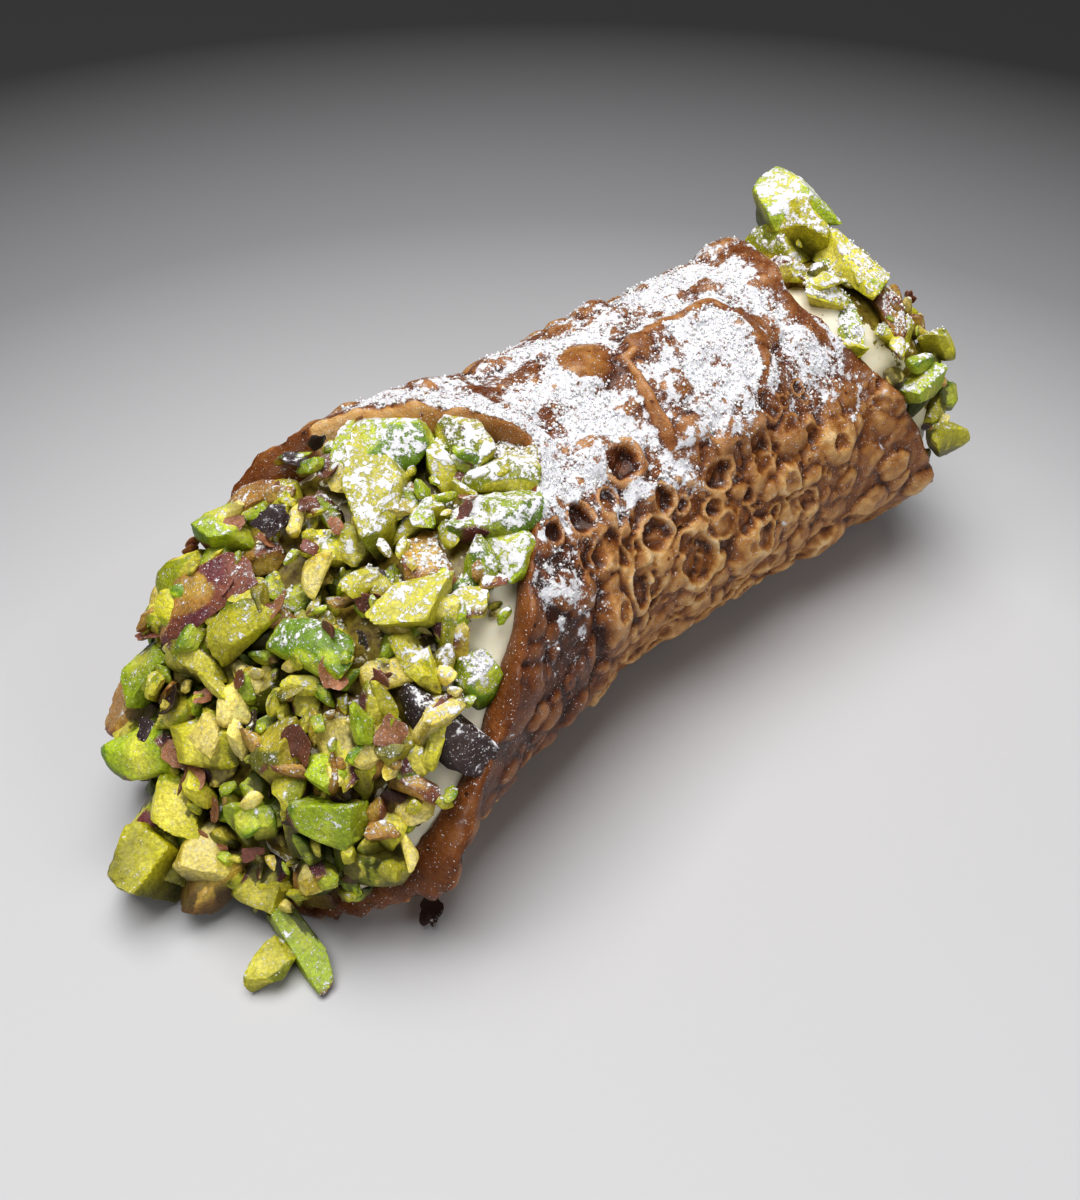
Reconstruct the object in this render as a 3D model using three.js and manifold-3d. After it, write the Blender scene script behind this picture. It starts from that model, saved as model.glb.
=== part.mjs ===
// A filled pastry tube. A disc of dough is rolled up with its two edges overlapping along a seam at the
// top and fried, which blisters it. Because the disc is round, each mouth slants back from a long lower lip
// to a notch at the seam. Sweet cream runs through the tube, bulges out of both mouths and carries a thick
// layer of chopped pistachios.
//
// Millimetres. +X runs along the tube from the showy mouth, at -X, to the other mouth. +Z is up and the
// origin is on the flat strip that the tube rests on, half way along it.
// Angles go round the tube as seen from +X: 0 points to +Y, 90 up, 180 to -Y, 270 down.

import * as THREE from "three";
import { ConvexGeometry } from "three/addons/geometries/ConvexGeometry.js";
import { mergeVertices } from "three/addons/utils/BufferGeometryUtils.js";
import Module from "manifold-3d";

// Driving dimensions of the tube
const HALF_LENGTH = 48.2; // from the middle to the tip of each lower lip
const RADIUS_NEAR = 20.4; // outer radius at the -X end, in the middle and at the +X end
const RADIUS_MIDDLE = 18.6;
const RADIUS_FAR = 18.1;
const BOW = 6.0; // how far both ends lie towards -Y of the middle
const BOW_SPAN = 47;
const WALL = 2.2; // thickness of the fried dough
const FLAT_DEPTH = 0.5; // how much the round underside is flattened
const SEAM = 105; // degrees, where the dough overlaps
const SEAM_STEP = 1.3; // height of the overlapping edge over the dough in front of it
const SEAM_FADE = 75; // degrees round which that step dies away
const LIP_ROUND = 0.5; // how far the rounded edge of the dough stands out
const GAP = 0.3; // clearance between the dough and the filling

// The tube is a little narrower behind the near mouth, all round but underneath
const WAIST = { x: -4, width: 8, depth: 1.3 };

// Each mouth: which way it faces, how far its notch lies behind its lower lip, how fast it slants, how far
// the cream bulges out and leans, and how deep its back lip stands clear of the cream
const NEAR = { side: -1, setback: 39.1, power: 1.15, bulge: 6.5, lean: [-2.0, 3.0, 0.0], bare: 5 };
const FAR = { side: 1, setback: 19.3, power: 1.35, bulge: 8.5, lean: [0.0, -1.0, 3.5], bare: 0 };
const BARE_ANGLE = 72;
const BULGE_POWER = 4; // the bulge is flat-topped and falls off near the rim

// Mesh steps
const ROUND_STEPS = 44;
const OUTER_STEPS = 38;
const INNER_STEPS = 7;
const CAP_STEPS = 5;
const CORE_STEPS = 5;
const CORE_ROUND_STEPS = 24;

// The blisters that stand out most: place along the tube, angle round it, radius along, radius round and
// height. A negative height is a burst one, which is a hollow with a raised rim.
const BLISTERS = [
  [0.2, 101, 3.6, 3.2, 1.3],
  [-26.8, 168, 3.4, 3.4, 1.1],
  [10.5, 179, 3.8, 3.6, 1.7],
  [-10.5, 171, 2.6, 3.4, 1.7],
  [17.0, 161, 2.6, 2.4, 1.5],
  [24.5, 156, 3.4, 3.2, 1.4],
  [11.0, 68, 2.8, 2.4, 1.6],
  [-3.0, 66, 3.0, 2.6, 1.4],
  [18.5, 147, 2.8, 2.6, 1.3],
  [-2.5, 128, 3.2, 2.8, -1.4],
  [-2.2, 154, 2.6, 2.6, -1.7],
  [-6.0, 167, 2.4, 4.0, -1.9],
  [2.6, 171, 3.2, 4.8, -1.7],
  [7.5, 147, 2.4, 2.4, -1.2],
];
const RANDOM_BLISTERS = 90; // the others, placed by a seeded rule
const SMALLEST_BLISTER = 1.8; // smaller ones are left out of this coarse surface
const LARGEST_BLISTER = 3.4;
const BLISTER_RISE = 0.4; // height of a dome over its radius
const BURST_RIM = 0.55; // share of a burst blister's radius that is hollow
const BURST_DEPTH = 0.5; // depth of the hollow over the height of its rim

// A corner of the dough lies on the top as a raised, nearly square patch
const PATCH = { x: 12.6, angle: 118, along: 8.4, round: 7.6, height: 1.2, edge: 0.22 };

// The lips at the back of both mouths curl up
const CURLS = [
  { x: 36, angle: 78, along: 9, round: 11, height: 2.2 },
  { x: -24, angle: 52, along: 15, round: 13, height: 1.7 },
];

// Chopped nuts that make up the even layer: how many on each mouth, their half length, corners, width and
// thickness over length, how far they stick out of the cream, and how high they pile up
const NUTS_NEAR = 72;
const NUTS_FAR = 38;
const NUT_LENGTH = [2.1, 3.8];
const NUT_CORNERS = 10;
const NUT_ASPECT = [0.68, 0.55];
const NUT_LIFT = 0.15;
const NUT_PILE = 2.4;
const PILE_ANGLE = -25; // they pile up towards this side of each mouth
const CORNER_JITTER = 0.3;
const BOXINESS = 3.2; // 2 would be round
const GOLDEN_ANGLE = Math.PI * (3 - Math.sqrt(5));
const FLOOR_CLEARANCE = 0.1;

// Nuts and pieces of nut skin that stand out on the near cream: share of the way to the rim, angle round
// it, turn on the cream, height above it, and half length, width and thickness
const NEAR_NUTS = [
  [0.82, 74, 5, 2.0, 5.4, 3.2, 2.6],
  [0.57, 90, 90, 2.5, 3.8, 2.9, 2.6],
  [0.86, 92, 130, 1.9, 4.3, 2.3, 2.2],
  [0.91, 116, 95, 1.5, 4.6, 2.1, 1.9],
  [0.93, 128, 120, 1.8, 3.2, 2.2, 1.9],
  [0.96, 136, 45, 1.5, 2.5, 2.0, 1.8],
  [0.7, 146, 115, 2.4, 4.2, 2.7, 2.0],
  [0.5, 16, 145, 2.6, 4.5, 2.6, 1.2],
  [0.24, 160, 80, 2.0, 5.1, 2.7, 2.2],
  [0.9, 176, 60, 1.6, 4.9, 2.7, 1.6],
  [0.75, 218, 135, 2.0, 3.4, 2.5, 2.1],
  [0.93, 216, 130, 1.6, 4.0, 2.1, 1.9],
  [0.45, 340, 65, 2.0, 3.4, 2.5, 2.1],
  [0.51, 292, 35, 2.0, 3.0, 2.3, 2.1],
  [0.45, 230, 30, 2.0, 3.2, 2.5, 2.1],
  [0.74, 162, 45, 2.0, 3.3, 1.4, 1.4],
  [0.26, 6, 165, 2.2, 3.1, 2.4, 2.0],
];

// The same on the far cream
const FAR_NUTS = [
  [0.62, 100, 170, 1.5, 5.4, 3.1, 2.2],
  [0.53, 344, 115, 2.0, 2.9, 1.5, 1.0],
  [0.22, 276, 15, 1.8, 3.1, 2.8, 2.0],
  [0.6, 172, 40, 2.4, 2.8, 2.6, 2.2],
  [0.7, 205, 15, 2.2, 3.0, 2.5, 2.2],
  [0.92, 190, 30, 2.4, 3.6, 2.4, 2.2],
  [0.9, 160, 60, 2.2, 3.2, 2.4, 2.2],
  [0.85, 60, 20, 2.0, 4.2, 3.6, 3.0],
];

// Nuts placed on their own: position, half sizes, heading, pitch and roll in degrees
const SINGLE_NUTS = [
  [40.3, 1.8, 38.4, 4.7, 2.4, 4.9, 124, 0, 0], // a half that stands up at the back of the far mouth
  [40.8, 5.4, 39.6, 3.6, 3.0, 3.2, 20, 0, 0],
  [-35.0, 11.0, 29.4, 3.1, 2.6, 3.0, 110, 0, 0],
  [-38.8, 11.6, 25.6, 3.2, 2.6, 2.8, 150, 20, 0],
  [-42.4, 12.0, 21.2, 3.4, 2.6, 2.8, 60, 20, 0],
  [-45.6, 10.6, 18.0, 3.4, 2.8, 2.8, 150, 20, 0],
  [-47.2, 11.6, 13.2, 3.6, 2.8, 2.8, 60, 20, 0],
  [-49.9, 10.2, 11.2, 3.2, 2.6, 2.8, 20, 40, 0],
  [-48.8, 11.2, 6.8, 3.4, 2.8, 2.8, 80, 0, 20],
  [-50.6, 6.4, 12.6, 3.6, 2.8, 2.8, 120, 20, 0],
  [-50.8, 1.4, 9.8, 3.6, 2.9, 2.8, 40, 10, 0],
  [-50.6, -2.9, 6.0, 4.3, 3.2, 3.2, 20, 10, 0],
  [-52.2, -5.4, 5.4, 4.9, 2.0, 1.4, -15, -27, 0],
  [-50.2, 4.4, 5.8, 4.6, 3.2, 3.4, 10, 0, 0],
  [-53.0, 0.8, 4.4, 3.4, 3.0, 2.8, 80, 0, 0],
  [-56.3, 1.1, 4.3, 3.7, 3.5, 4.3, 12, 6, 4], // a squarish half that stands in front of the lower lip
  [-48.4, -8.6, 4.4, 3.8, 2.8, 2.8, 20, 0, 0],
  [-49.3, -12.6, 2.4, 5.2, 1.8, 1.8, -94, 11, 0], // a stick that leans on the lip
  [-52.6, -15.2, 1.9, 3.2, 2.1, 1.8, 12, 0, 0],
];

const rad = THREE.MathUtils.degToRad;
const clamp = THREE.MathUtils.clamp;
const lerp = THREE.MathUtils.lerp;
const smoothstep = THREE.MathUtils.smoothstep;

// A repeatable draw from 0 to 1 for thing number i and purpose k.
function draw(i, k) {
  const wave = Math.sin(i * 12.9898 + k * 78.233) * 43758.5453;
  return wave - Math.floor(wave);
}

// The tube's plain outer radius: a smooth curve through the three stated radii.
function plainRadius(x) {
  const t = clamp(x / HALF_LENGTH, -1, 1);
  const ends = (RADIUS_FAR - RADIUS_NEAR) / 2;
  const belly = (RADIUS_FAR + RADIUS_NEAR) / 2 - RADIUS_MIDDLE;
  return RADIUS_MIDDLE + ends * t + belly * t * t;
}

// How much the waist takes off the radius; nothing underneath, so that the tube rests on its whole length.
function waist(x, angle) {
  const along = Math.exp(-(((x - WAIST.x) / WAIST.width) ** 2));
  return WAIST.depth * along * smoothstep(Math.sin(rad(angle)), -0.95, -0.3);
}

const bow = (x) => -BOW * (x / BOW_SPAN) ** 2;
const axisHeight = (x) => plainRadius(x) - FLAT_DEPTH;

// The signed angle from the seam, -180 to 180 degrees; positive is towards -Y.
function fromSeam(angle) {
  return THREE.MathUtils.euclideanModulo(angle - SEAM + 180, 360) - 180;
}

// Where the edge of the dough lies at an angle: at the lip's tip opposite the seam, set back at the seam.
function rimX(mouth, angle) {
  const slant = Math.sin(rad(Math.abs(fromSeam(angle))) / 2) ** mouth.power;
  return mouth.side * (HALF_LENGTH - mouth.setback * (1 - slant));
}

// One blister's height at a distance share q from its centre: a dome, or a rim round a hollow.
function blisterHeight(q, height) {
  if (q >= 1) return 0;
  if (height > 0) return height * Math.sqrt(1 - q * q);
  return -height * (1 - q * q) * (q > BURST_RIM ? 1 : -BURST_DEPTH);
}

function randomBlisters() {
  const made = [];
  for (let i = 0; i < RANDOM_BLISTERS; i++) {
    const size = lerp(SMALLEST_BLISTER, LARGEST_BLISTER, draw(i, 3) ** 2);
    const x = HALF_LENGTH * (2 * draw(i, 1) - 1);
    const angle = 360 * draw(i, 2);
    made.push([x, angle, size, size * (0.8 + 0.4 * draw(i, 4)), size * BLISTER_RISE]);
  }
  return made;
}

const ALL_BLISTERS = [...BLISTERS, ...randomBlisters()];

// How far a place lies from a feature's centre along the tube and round it, as shares of its radii.
function shareOf(x, angle, centreX, centreAngle, along, round) {
  const turn = THREE.MathUtils.euclideanModulo(angle - centreAngle + 180, 360) - 180;
  return [(x - centreX) / along, (rad(turn) * RADIUS_MIDDLE) / round];
}

// The relief on the plain tube: the seam's step, the raised patch, the curled lips and the blisters.
function relief(x, angle) {
  const behind = -fromSeam(angle) / SEAM_FADE;
  let height = behind > 0 && behind < 1 ? SEAM_STEP * (1 - behind) : 0;

  const [pu, pv] = shareOf(x, angle, PATCH.x, PATCH.angle, PATCH.along, PATCH.round);
  const square = (pu ** 4 + pv ** 4) ** 0.25;
  height += PATCH.height * (1 - smoothstep(square, 1 - PATCH.edge, 1 + PATCH.edge));

  for (const curl of CURLS) {
    const [cu, cv] = shareOf(x, angle, curl.x, curl.angle, curl.along, curl.round);
    height += curl.height * Math.exp(-(cu * cu + cv * cv));
  }

  let tallest = 0;
  let deepest = 0;
  for (const [bx, bAngle, along, round, rise] of ALL_BLISTERS) {
    const [u, v] = shareOf(x, angle, bx, bAngle, along, round);
    const h = blisterHeight(Math.hypot(u, v), rise);
    tallest = Math.max(tallest, h);
    deepest = Math.min(deepest, h);
  }
  return height + tallest + deepest;
}

// A point at a height over the tube's plain outside, with nothing below the floor.
function tubePoint(x, angle, over) {
  const radius = plainRadius(x) - waist(x, angle) + over;
  const y = bow(x) + radius * Math.cos(rad(angle));
  const z = axisHeight(x) + radius * Math.sin(rad(angle));
  return new THREE.Vector3(x, y, Math.max(z, 0));
}

// A closed surface from rows of points. Every row goes once round the tube; a row of one point is a pole.
function closedSurface(rows, wrapRows) {
  const positions = [];
  const starts = rows.map((row) => {
    const start = positions.length / 3;
    row.forEach((p) => positions.push(p.x, p.y, p.z));
    return start;
  });
  const index = [];
  const pairs = wrapRows ? rows.length : rows.length - 1;
  for (let r = 0; r < pairs; r++) {
    const s = (r + 1) % rows.length;
    const count = Math.max(rows[r].length, rows[s].length);
    for (let k = 0; k < count; k++) {
      const a = starts[r] + (k % rows[r].length);
      const b = starts[r] + ((k + 1) % rows[r].length);
      const c = starts[s] + (k % rows[s].length);
      const d = starts[s] + ((k + 1) % rows[s].length);
      if (rows[r].length > 1) index.push(a, b, c);
      if (rows[s].length > 1) index.push(b, d, c);
    }
  }
  const geometry = new THREE.BufferGeometry();
  geometry.setAttribute("position", new THREE.Float32BufferAttribute(positions, 3));
  geometry.setIndex(index);
  return geometry;
}

const anglesOf = (steps) => Array.from({ length: steps }, (_, k) => (360 * k) / steps);

// The dough: out along the blistered outside, round the far lip, back inside and round the near lip.
// grow makes it thicker all over, for cutting the filling clear of it.
function doughRows(grow) {
  const ring = (place) => anglesOf(ROUND_STEPS).map((angle) => place(angle));
  const across = (angle, share) => lerp(rimX(NEAR, angle) - grow, rimX(FAR, angle) + grow, share);
  const lip = (mouth) =>
    ring((angle) => {
      const x = rimX(mouth, angle) + mouth.side * (LIP_ROUND + grow);
      return tubePoint(x, angle, (relief(x, angle) - WALL) / 2);
    });
  const rows = [];
  for (let i = 0; i <= OUTER_STEPS; i++) {
    rows.push(
      ring((angle) => {
        const x = across(angle, i / OUTER_STEPS);
        return tubePoint(x, angle, relief(x, angle) + grow);
      }),
    );
  }
  rows.push(lip(FAR));
  for (let i = INNER_STEPS; i >= 0; i--) {
    rows.push(ring((angle) => tubePoint(across(angle, i / INNER_STEPS), angle, -WALL - grow)));
  }
  rows.push(lip(NEAR));
  return rows;
}

// The edge of the cream in a mouth: at the lip, but deeper where the back lip stands bare.
function creamEdge(mouth, angle) {
  const bare = mouth.bare * Math.max(Math.cos(rad(angle - BARE_ANGLE)), 0) ** 3;
  return tubePoint(rimX(mouth, angle) - mouth.side * bare, angle, -WALL - GAP);
}

// The middle of that edge, the way the mouth faces and the push that makes the cream bulge.
function mouthFrame(mouth) {
  const edge = anglesOf(360).map((angle) => creamEdge(mouth, angle));
  const centre = edge.reduce((sum, p) => sum.addScaledVector(p, 1 / edge.length), new THREE.Vector3());
  const slope = creamEdge(mouth, SEAM).sub(creamEdge(mouth, SEAM + 180));
  const across = creamEdge(mouth, SEAM + 90).sub(creamEdge(mouth, SEAM - 90));
  const facing = slope.cross(across).normalize();
  if (facing.x * mouth.side < 0) facing.negate();
  const push = new THREE.Vector3(...mouth.lean).addScaledVector(facing, mouth.bulge);
  return { centre, facing, push };
}

const FRAMES = new Map([NEAR, FAR].map((mouth) => [mouth, mouthFrame(mouth)]));

// A point on the bulging cream of a mouth: rho is 0 at the middle and 1 at the edge.
function capPoint(mouth, rho, angle) {
  const { centre, push } = FRAMES.get(mouth);
  const point = centre.clone().lerp(creamEdge(mouth, angle), rho);
  return point.addScaledVector(push, 1 - rho ** BULGE_POWER);
}

// The cream's own axes at that point: round the mouth, outwards over the cream, and up off it.
function capAxes(mouth, rho, angle) {
  const step = 0.02;
  const inner = Math.max(rho - step, step);
  const outward = capPoint(mouth, inner + 2 * step, angle).sub(capPoint(mouth, inner, angle));
  const around = capPoint(mouth, rho, angle + 2).sub(capPoint(mouth, rho, angle - 2)).normalize();
  const normal = outward.cross(around).normalize();
  if (normal.dot(FRAMES.get(mouth).facing) < 0) normal.negate();
  return new THREE.Matrix4().makeBasis(around, normal.clone().cross(around), normal);
}

// The cream: a cap in the near mouth, the column through the tube and a cap in the far mouth.
function creamRows() {
  const angles = anglesOf(CORE_ROUND_STEPS);
  const capRing = (mouth, rho) => angles.map((angle) => capPoint(mouth, rho, angle));
  const rows = [[capPoint(NEAR, 0, 0)]];
  for (let i = 1; i < CAP_STEPS; i++) rows.push(capRing(NEAR, i / CAP_STEPS));
  for (let i = 0; i <= CORE_STEPS; i++) {
    rows.push(
      angles.map((angle) => {
        const x = lerp(creamEdge(NEAR, angle).x, creamEdge(FAR, angle).x, i / CORE_STEPS);
        return tubePoint(x, angle, -WALL - GAP);
      }),
    );
  }
  for (let i = CAP_STEPS - 1; i > 0; i--) rows.push(capRing(FAR, i / CAP_STEPS));
  rows.push([capPoint(FAR, 0, 0)]);
  return rows;
}

// A chopped nut: an uneven, slightly boxy chunk of the half sizes, turned by a matrix and moved.
function nutGeometry(seed, size, turn, place) {
  const corners = [];
  for (let k = 0; k < NUT_CORNERS; k++) {
    const up = 1 - (2 * (k + 0.5)) / NUT_CORNERS;
    const flat = Math.sqrt(1 - up * up);
    const around = k * GOLDEN_ANGLE + 2 * Math.PI * draw(seed, 12);
    const corner = new THREE.Vector3(Math.cos(around) * flat, Math.sin(around) * flat, up);
    const box = corner.toArray().reduce((sum, c) => sum + Math.abs(c) ** BOXINESS, 0);
    const reach = box ** (-1 / BOXINESS) * (1 - CORNER_JITTER * draw(seed * 31 + k, 11));
    corners.push(corner.multiplyScalar(reach).multiply(size).applyMatrix4(turn).add(place));
  }
  corners.forEach((p) => p.setZ(Math.max(p.z, FLOOR_CLEARANCE)));
  return new ConvexGeometry(corners);
}

function nutOnCream(seed, mouth, [rho, angle, spin, lift, ...half], leaning) {
  const turn = capAxes(mouth, rho, angle);
  const up = new THREE.Vector3().setFromMatrixColumn(turn, 2);
  const place = capPoint(mouth, rho, angle).addScaledVector(up, lift);
  turn.multiply(new THREE.Matrix4().makeRotationZ(rad(spin)));
  turn.multiply(new THREE.Matrix4().makeRotationFromEuler(leaning));
  return nutGeometry(seed, new THREE.Vector3(...half), turn, place);
}

// The even layer of nuts on one mouth, spread by the golden angle with seeded jitter.
function scatterNuts(mouth, count, seed) {
  const nuts = [];
  for (let i = 0; i < count; i++) {
    const n = seed + i;
    const rho = 0.98 * Math.sqrt((i + 0.5) / count) + 0.05 * (draw(n, 1) - 0.5);
    const angle = THREE.MathUtils.radToDeg(i * GOLDEN_ANGLE) + 16 * (draw(n, 2) - 0.5);
    const length = lerp(...NUT_LENGTH, draw(n, 3) ** 1.5);
    const width = length * NUT_ASPECT[0] * (0.8 + 0.5 * draw(n, 4));
    const thick = length * NUT_ASPECT[1] * (0.8 + 0.5 * draw(n, 5));
    const pile = NUT_PILE * draw(n, 9) * rho * Math.max(Math.cos(rad(angle - PILE_ANGLE)), 0);
    const leaning = new THREE.Euler(0.8 * (draw(n, 6) - 0.5), 0.8 * (draw(n, 7) - 0.5), 0);
    const row = [rho, angle, 360 * draw(n, 8), length * NUT_LIFT + pile, length, width, thick];
    nuts.push(nutOnCream(n, mouth, row, leaning));
  }
  return nuts;
}

const flat = new THREE.Euler();
const placedNuts = (rows, mouth, seed) => rows.map((row, i) => nutOnCream(seed + i, mouth, row, flat));

function singleNuts(seed) {
  return SINGLE_NUTS.map(([x, y, z, along, across, thick, heading, pitch, roll], i) => {
    const euler = new THREE.Euler(rad(roll), rad(pitch), rad(heading), "ZYX");
    const turn = new THREE.Matrix4().makeRotationFromEuler(euler);
    const size = new THREE.Vector3(along, across, thick);
    return nutGeometry(seed + i, size, turn, new THREE.Vector3(x, y, z));
  });
}

const wasm = await Module();
wasm.setup();

function toSolid(geometry) {
  const plain = geometry.clone();
  plain.deleteAttribute("normal");
  plain.deleteAttribute("uv");
  const merged = mergeVertices(plain, 1e-4);
  return new wasm.Manifold(
    new wasm.Mesh({
      numProp: 3,
      vertProperties: merged.attributes.position.array,
      triVerts: new Uint32Array(merged.index.array),
    }),
  );
}

function toGeometry(solid) {
  const mesh = solid.getMesh();
  const geometry = new THREE.BufferGeometry();
  geometry.setAttribute("position", new THREE.Float32BufferAttribute(mesh.vertProperties, 3));
  geometry.setIndex(new THREE.Uint32BufferAttribute(mesh.triVerts, 1));
  geometry.computeVertexNormals();
  return geometry;
}

// The largest separate body of a solid: what a cut leaves loose is dropped.
function largestBody(solid) {
  return solid.decompose().reduce((best, body) => (body.volume() > best.volume() ? body : best));
}

// The cream with its nuts fused on, cut clear of the dough.
function fillingSolid() {
  const nuts = [
    ...scatterNuts(NEAR, NUTS_NEAR, 1),
    ...scatterNuts(FAR, NUTS_FAR, 301),
    ...placedNuts(NEAR_NUTS, NEAR, 601),
    ...placedNuts(FAR_NUTS, FAR, 701),
    ...singleNuts(801),
  ];
  const cream = toSolid(closedSurface(creamRows(), false));
  const fused = nuts.reduce((sum, nut) => sum.add(toSolid(nut)), cream);
  const dough = toSolid(closedSurface(doughRows(GAP * 0.8), true));
  return largestBody(fused.subtract(dough));
}

function namedMesh(name, geometry, color, roughness) {
  const material = new THREE.MeshStandardMaterial({ color, roughness, metalness: 0 });
  const mesh = new THREE.Mesh(geometry, material);
  mesh.name = name;
  return mesh;
}

const cannolo = new THREE.Group();
const shell = closedSurface(doughRows(0), true);
shell.computeVertexNormals();
cannolo.add(namedMesh("pastry_shell", shell, 0xa9682f, 0.55));
cannolo.add(namedMesh("nut_topped_filling", toGeometry(fillingSolid()), 0xb5b552, 0.7));

export default cannolo;
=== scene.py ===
# %% [markdown]
# A cannolo: a fried, blistered tube of dough, sweet cream that bulges out of both slanted mouths, and a
# thick crust of chopped pistachios under a dusting of icing sugar.
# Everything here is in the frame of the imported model: +X runs along the tube to the far mouth, +Z is up,
# and the tube lies on z = 0. Shapes are worked out in millimetres and put into metres at the very end.

# %% Load the fixed frame
import math

import bmesh
import bpy
import numpy as np
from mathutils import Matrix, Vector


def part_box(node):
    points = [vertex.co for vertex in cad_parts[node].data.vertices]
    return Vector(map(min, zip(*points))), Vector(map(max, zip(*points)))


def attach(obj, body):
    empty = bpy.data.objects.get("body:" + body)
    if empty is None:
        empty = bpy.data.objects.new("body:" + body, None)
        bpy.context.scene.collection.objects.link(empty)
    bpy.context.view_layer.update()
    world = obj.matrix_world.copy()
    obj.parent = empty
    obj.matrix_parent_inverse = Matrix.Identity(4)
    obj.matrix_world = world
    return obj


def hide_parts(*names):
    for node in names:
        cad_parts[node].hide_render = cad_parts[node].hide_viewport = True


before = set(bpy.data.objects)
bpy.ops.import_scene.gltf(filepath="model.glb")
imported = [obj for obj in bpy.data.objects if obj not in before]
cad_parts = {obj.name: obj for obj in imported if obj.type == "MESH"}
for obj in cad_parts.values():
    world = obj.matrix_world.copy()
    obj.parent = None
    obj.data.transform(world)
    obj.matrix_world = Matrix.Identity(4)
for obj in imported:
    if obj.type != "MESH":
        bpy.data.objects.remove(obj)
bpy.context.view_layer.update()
MM = 0.001
print("nodes", sorted(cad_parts))

# %% [markdown]
# The camera comes first, because every later choice is judged through it. The photograph was taken with a
# phone from above the showy end: 44 degrees down, and 44 degrees round towards that end. The lens is
# written the way a camera states it, for a sensor 36 mm on its long side, which is the picture's height.

# %% Camera
SENSOR = 36.0
LENS = 39.9
CAMERA_AZIMUTH = math.radians(-44.0)
CAMERA_ELEVATION = math.radians(44.0)
CAMERA_DISTANCE = 136.5
CAMERA_TARGET = np.array([-13.1, -10.3, 20.0])


def back_vector(azimuth, elevation):
    """The way from what is looked at to the camera: round Z by the azimuth, then up by the elevation."""
    flat = math.cos(elevation)
    return np.array([math.sin(azimuth) * flat, -math.cos(azimuth) * flat, math.sin(elevation)])


camera = bpy.data.objects.new("camera", bpy.data.cameras.new("camera"))
bpy.context.scene.collection.objects.link(camera)
camera.data.sensor_width = SENSOR
camera.data.lens = LENS
camera.data.clip_start = 0.01
camera.location = (CAMERA_TARGET + CAMERA_DISTANCE * back_vector(CAMERA_AZIMUTH, CAMERA_ELEVATION)) * MM
camera.rotation_euler = (math.pi / 2 - CAMERA_ELEVATION, 0.0, CAMERA_AZIMUTH)
bpy.context.scene.camera = camera
print("camera at", [round(c, 4) for c in camera.location])

# %% [markdown]
# Dough and nuts are irregular, so most steps need noise. Blender has noise textures for colours, but the
# shapes here are numpy arrays, so the noise is too: random values on a lattice of cells, blended smoothly
# between the eight corners of the cell that a point lies in.

# %% Noise
def cell_value(i, j, k, seed):
    """A value from 0 to 1 for each cell: its three whole numbers times large primes, mixed by shifts."""
    h = (i * 73856093) ^ (j * 19349663) ^ (k * 83492791) ^ (seed * 40503)
    h = h.astype(np.uint64) & 0xFFFFFFFF
    h = ((h ^ (h >> 15)) * 2246822519) & 0xFFFFFFFF
    h = ((h ^ (h >> 13)) * 3266489917) & 0xFFFFFFFF
    return ((h ^ (h >> 16)) & 0xFFFFFF) / 0xFFFFFF


def noise(points, size, seed=0):
    """Noise from -1 to 1 with features of a size in mm: corner values weighted by 3f^2 - 2f^3."""
    scaled = points / size
    base = np.floor(scaled).astype(np.int64)
    f = scaled - base
    f = f * f * (3 - 2 * f)
    total = np.zeros(points.shape[:-1])
    for corner in range(8):
        step = np.array([corner & 1, (corner >> 1) & 1, corner >> 2])
        weight = np.prod(np.where(step, f, 1 - f), axis=-1)
        total += weight * cell_value(*np.moveaxis(base + step, -1, 0), seed)
    return 2 * total - 1


def smoothstep(low, high, value):
    """0 below low, 1 above high and 3t^2 - 2t^3 between them."""
    t = np.clip((value - low) / (high - low), 0, 1)
    return t * t * (3 - 2 * t)


def between(value, start, full, fading, end):
    """0 outside start..end and 1 inside full..fading, smooth on both sides."""
    return smoothstep(start, full, value) * (1 - smoothstep(fading, end, value))


def bell(distance, width):
    """A bell curve: 1 at no distance, and e^-1 where the distance is the width."""
    return np.exp(-((distance / width) ** 2))


def along_tube(x, pairs):
    """Straight lines between pairs of a place along the tube and the value there."""
    return np.interp(x, *np.transpose(pairs))


def draw(i, k):
    """The part's own repeatable draw from 0 to 1: the fraction of a large multiple of a sine."""
    wave = np.sin(i * 12.9898 + k * 78.233) * 43758.5453
    return wave - np.floor(wave)


print("noise sample", noise(np.array([[0.3, 1.7, 2.2]]), 1.0).round(3))

# %% [markdown]
# The dough starts as a disc, rolled round a tube so that two edges overlap along the top, which is why
# each mouth is slanted. The tube's driving dimensions are those of the solid it stands for: its half
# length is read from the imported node, and its radii, bow and slants are stated again here.

# %% The tube
LIP_ROUND = 0.5
shell_low, shell_high = (np.array(corner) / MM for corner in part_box("pastry_shell"))
HALF_LENGTH = (shell_high[0] - shell_low[0]) / 2 - LIP_ROUND
RADIUS_NEAR = 20.4
RADIUS_MIDDLE = 18.6
RADIUS_FAR = 18.1
BOW = 6.0
BOW_SPAN = 47.0
WALL = 2.2
FLAT_DEPTH = 0.5
CREAM_PRESS = 0.15
SEAM = 105.0
SEAM_STEP = 1.3
SEAM_FADE = 75.0
WAIST_X = -4.0
WAIST_WIDTH = 8.0
WAIST_DEPTH = 1.3
NEAR = {"side": -1, "setback": 39.1, "power": 1.15, "bulge": 6.5, "lean": (-2.0, 3.0, 0.0), "bare": 5.0}
FAR = {"side": 1, "setback": 19.3, "power": 1.35, "bulge": 8.5, "lean": (0.0, -1.0, 3.5), "bare": 0.0}
BARE_ANGLE = 72.0
BULGE_POWER = 4


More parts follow.
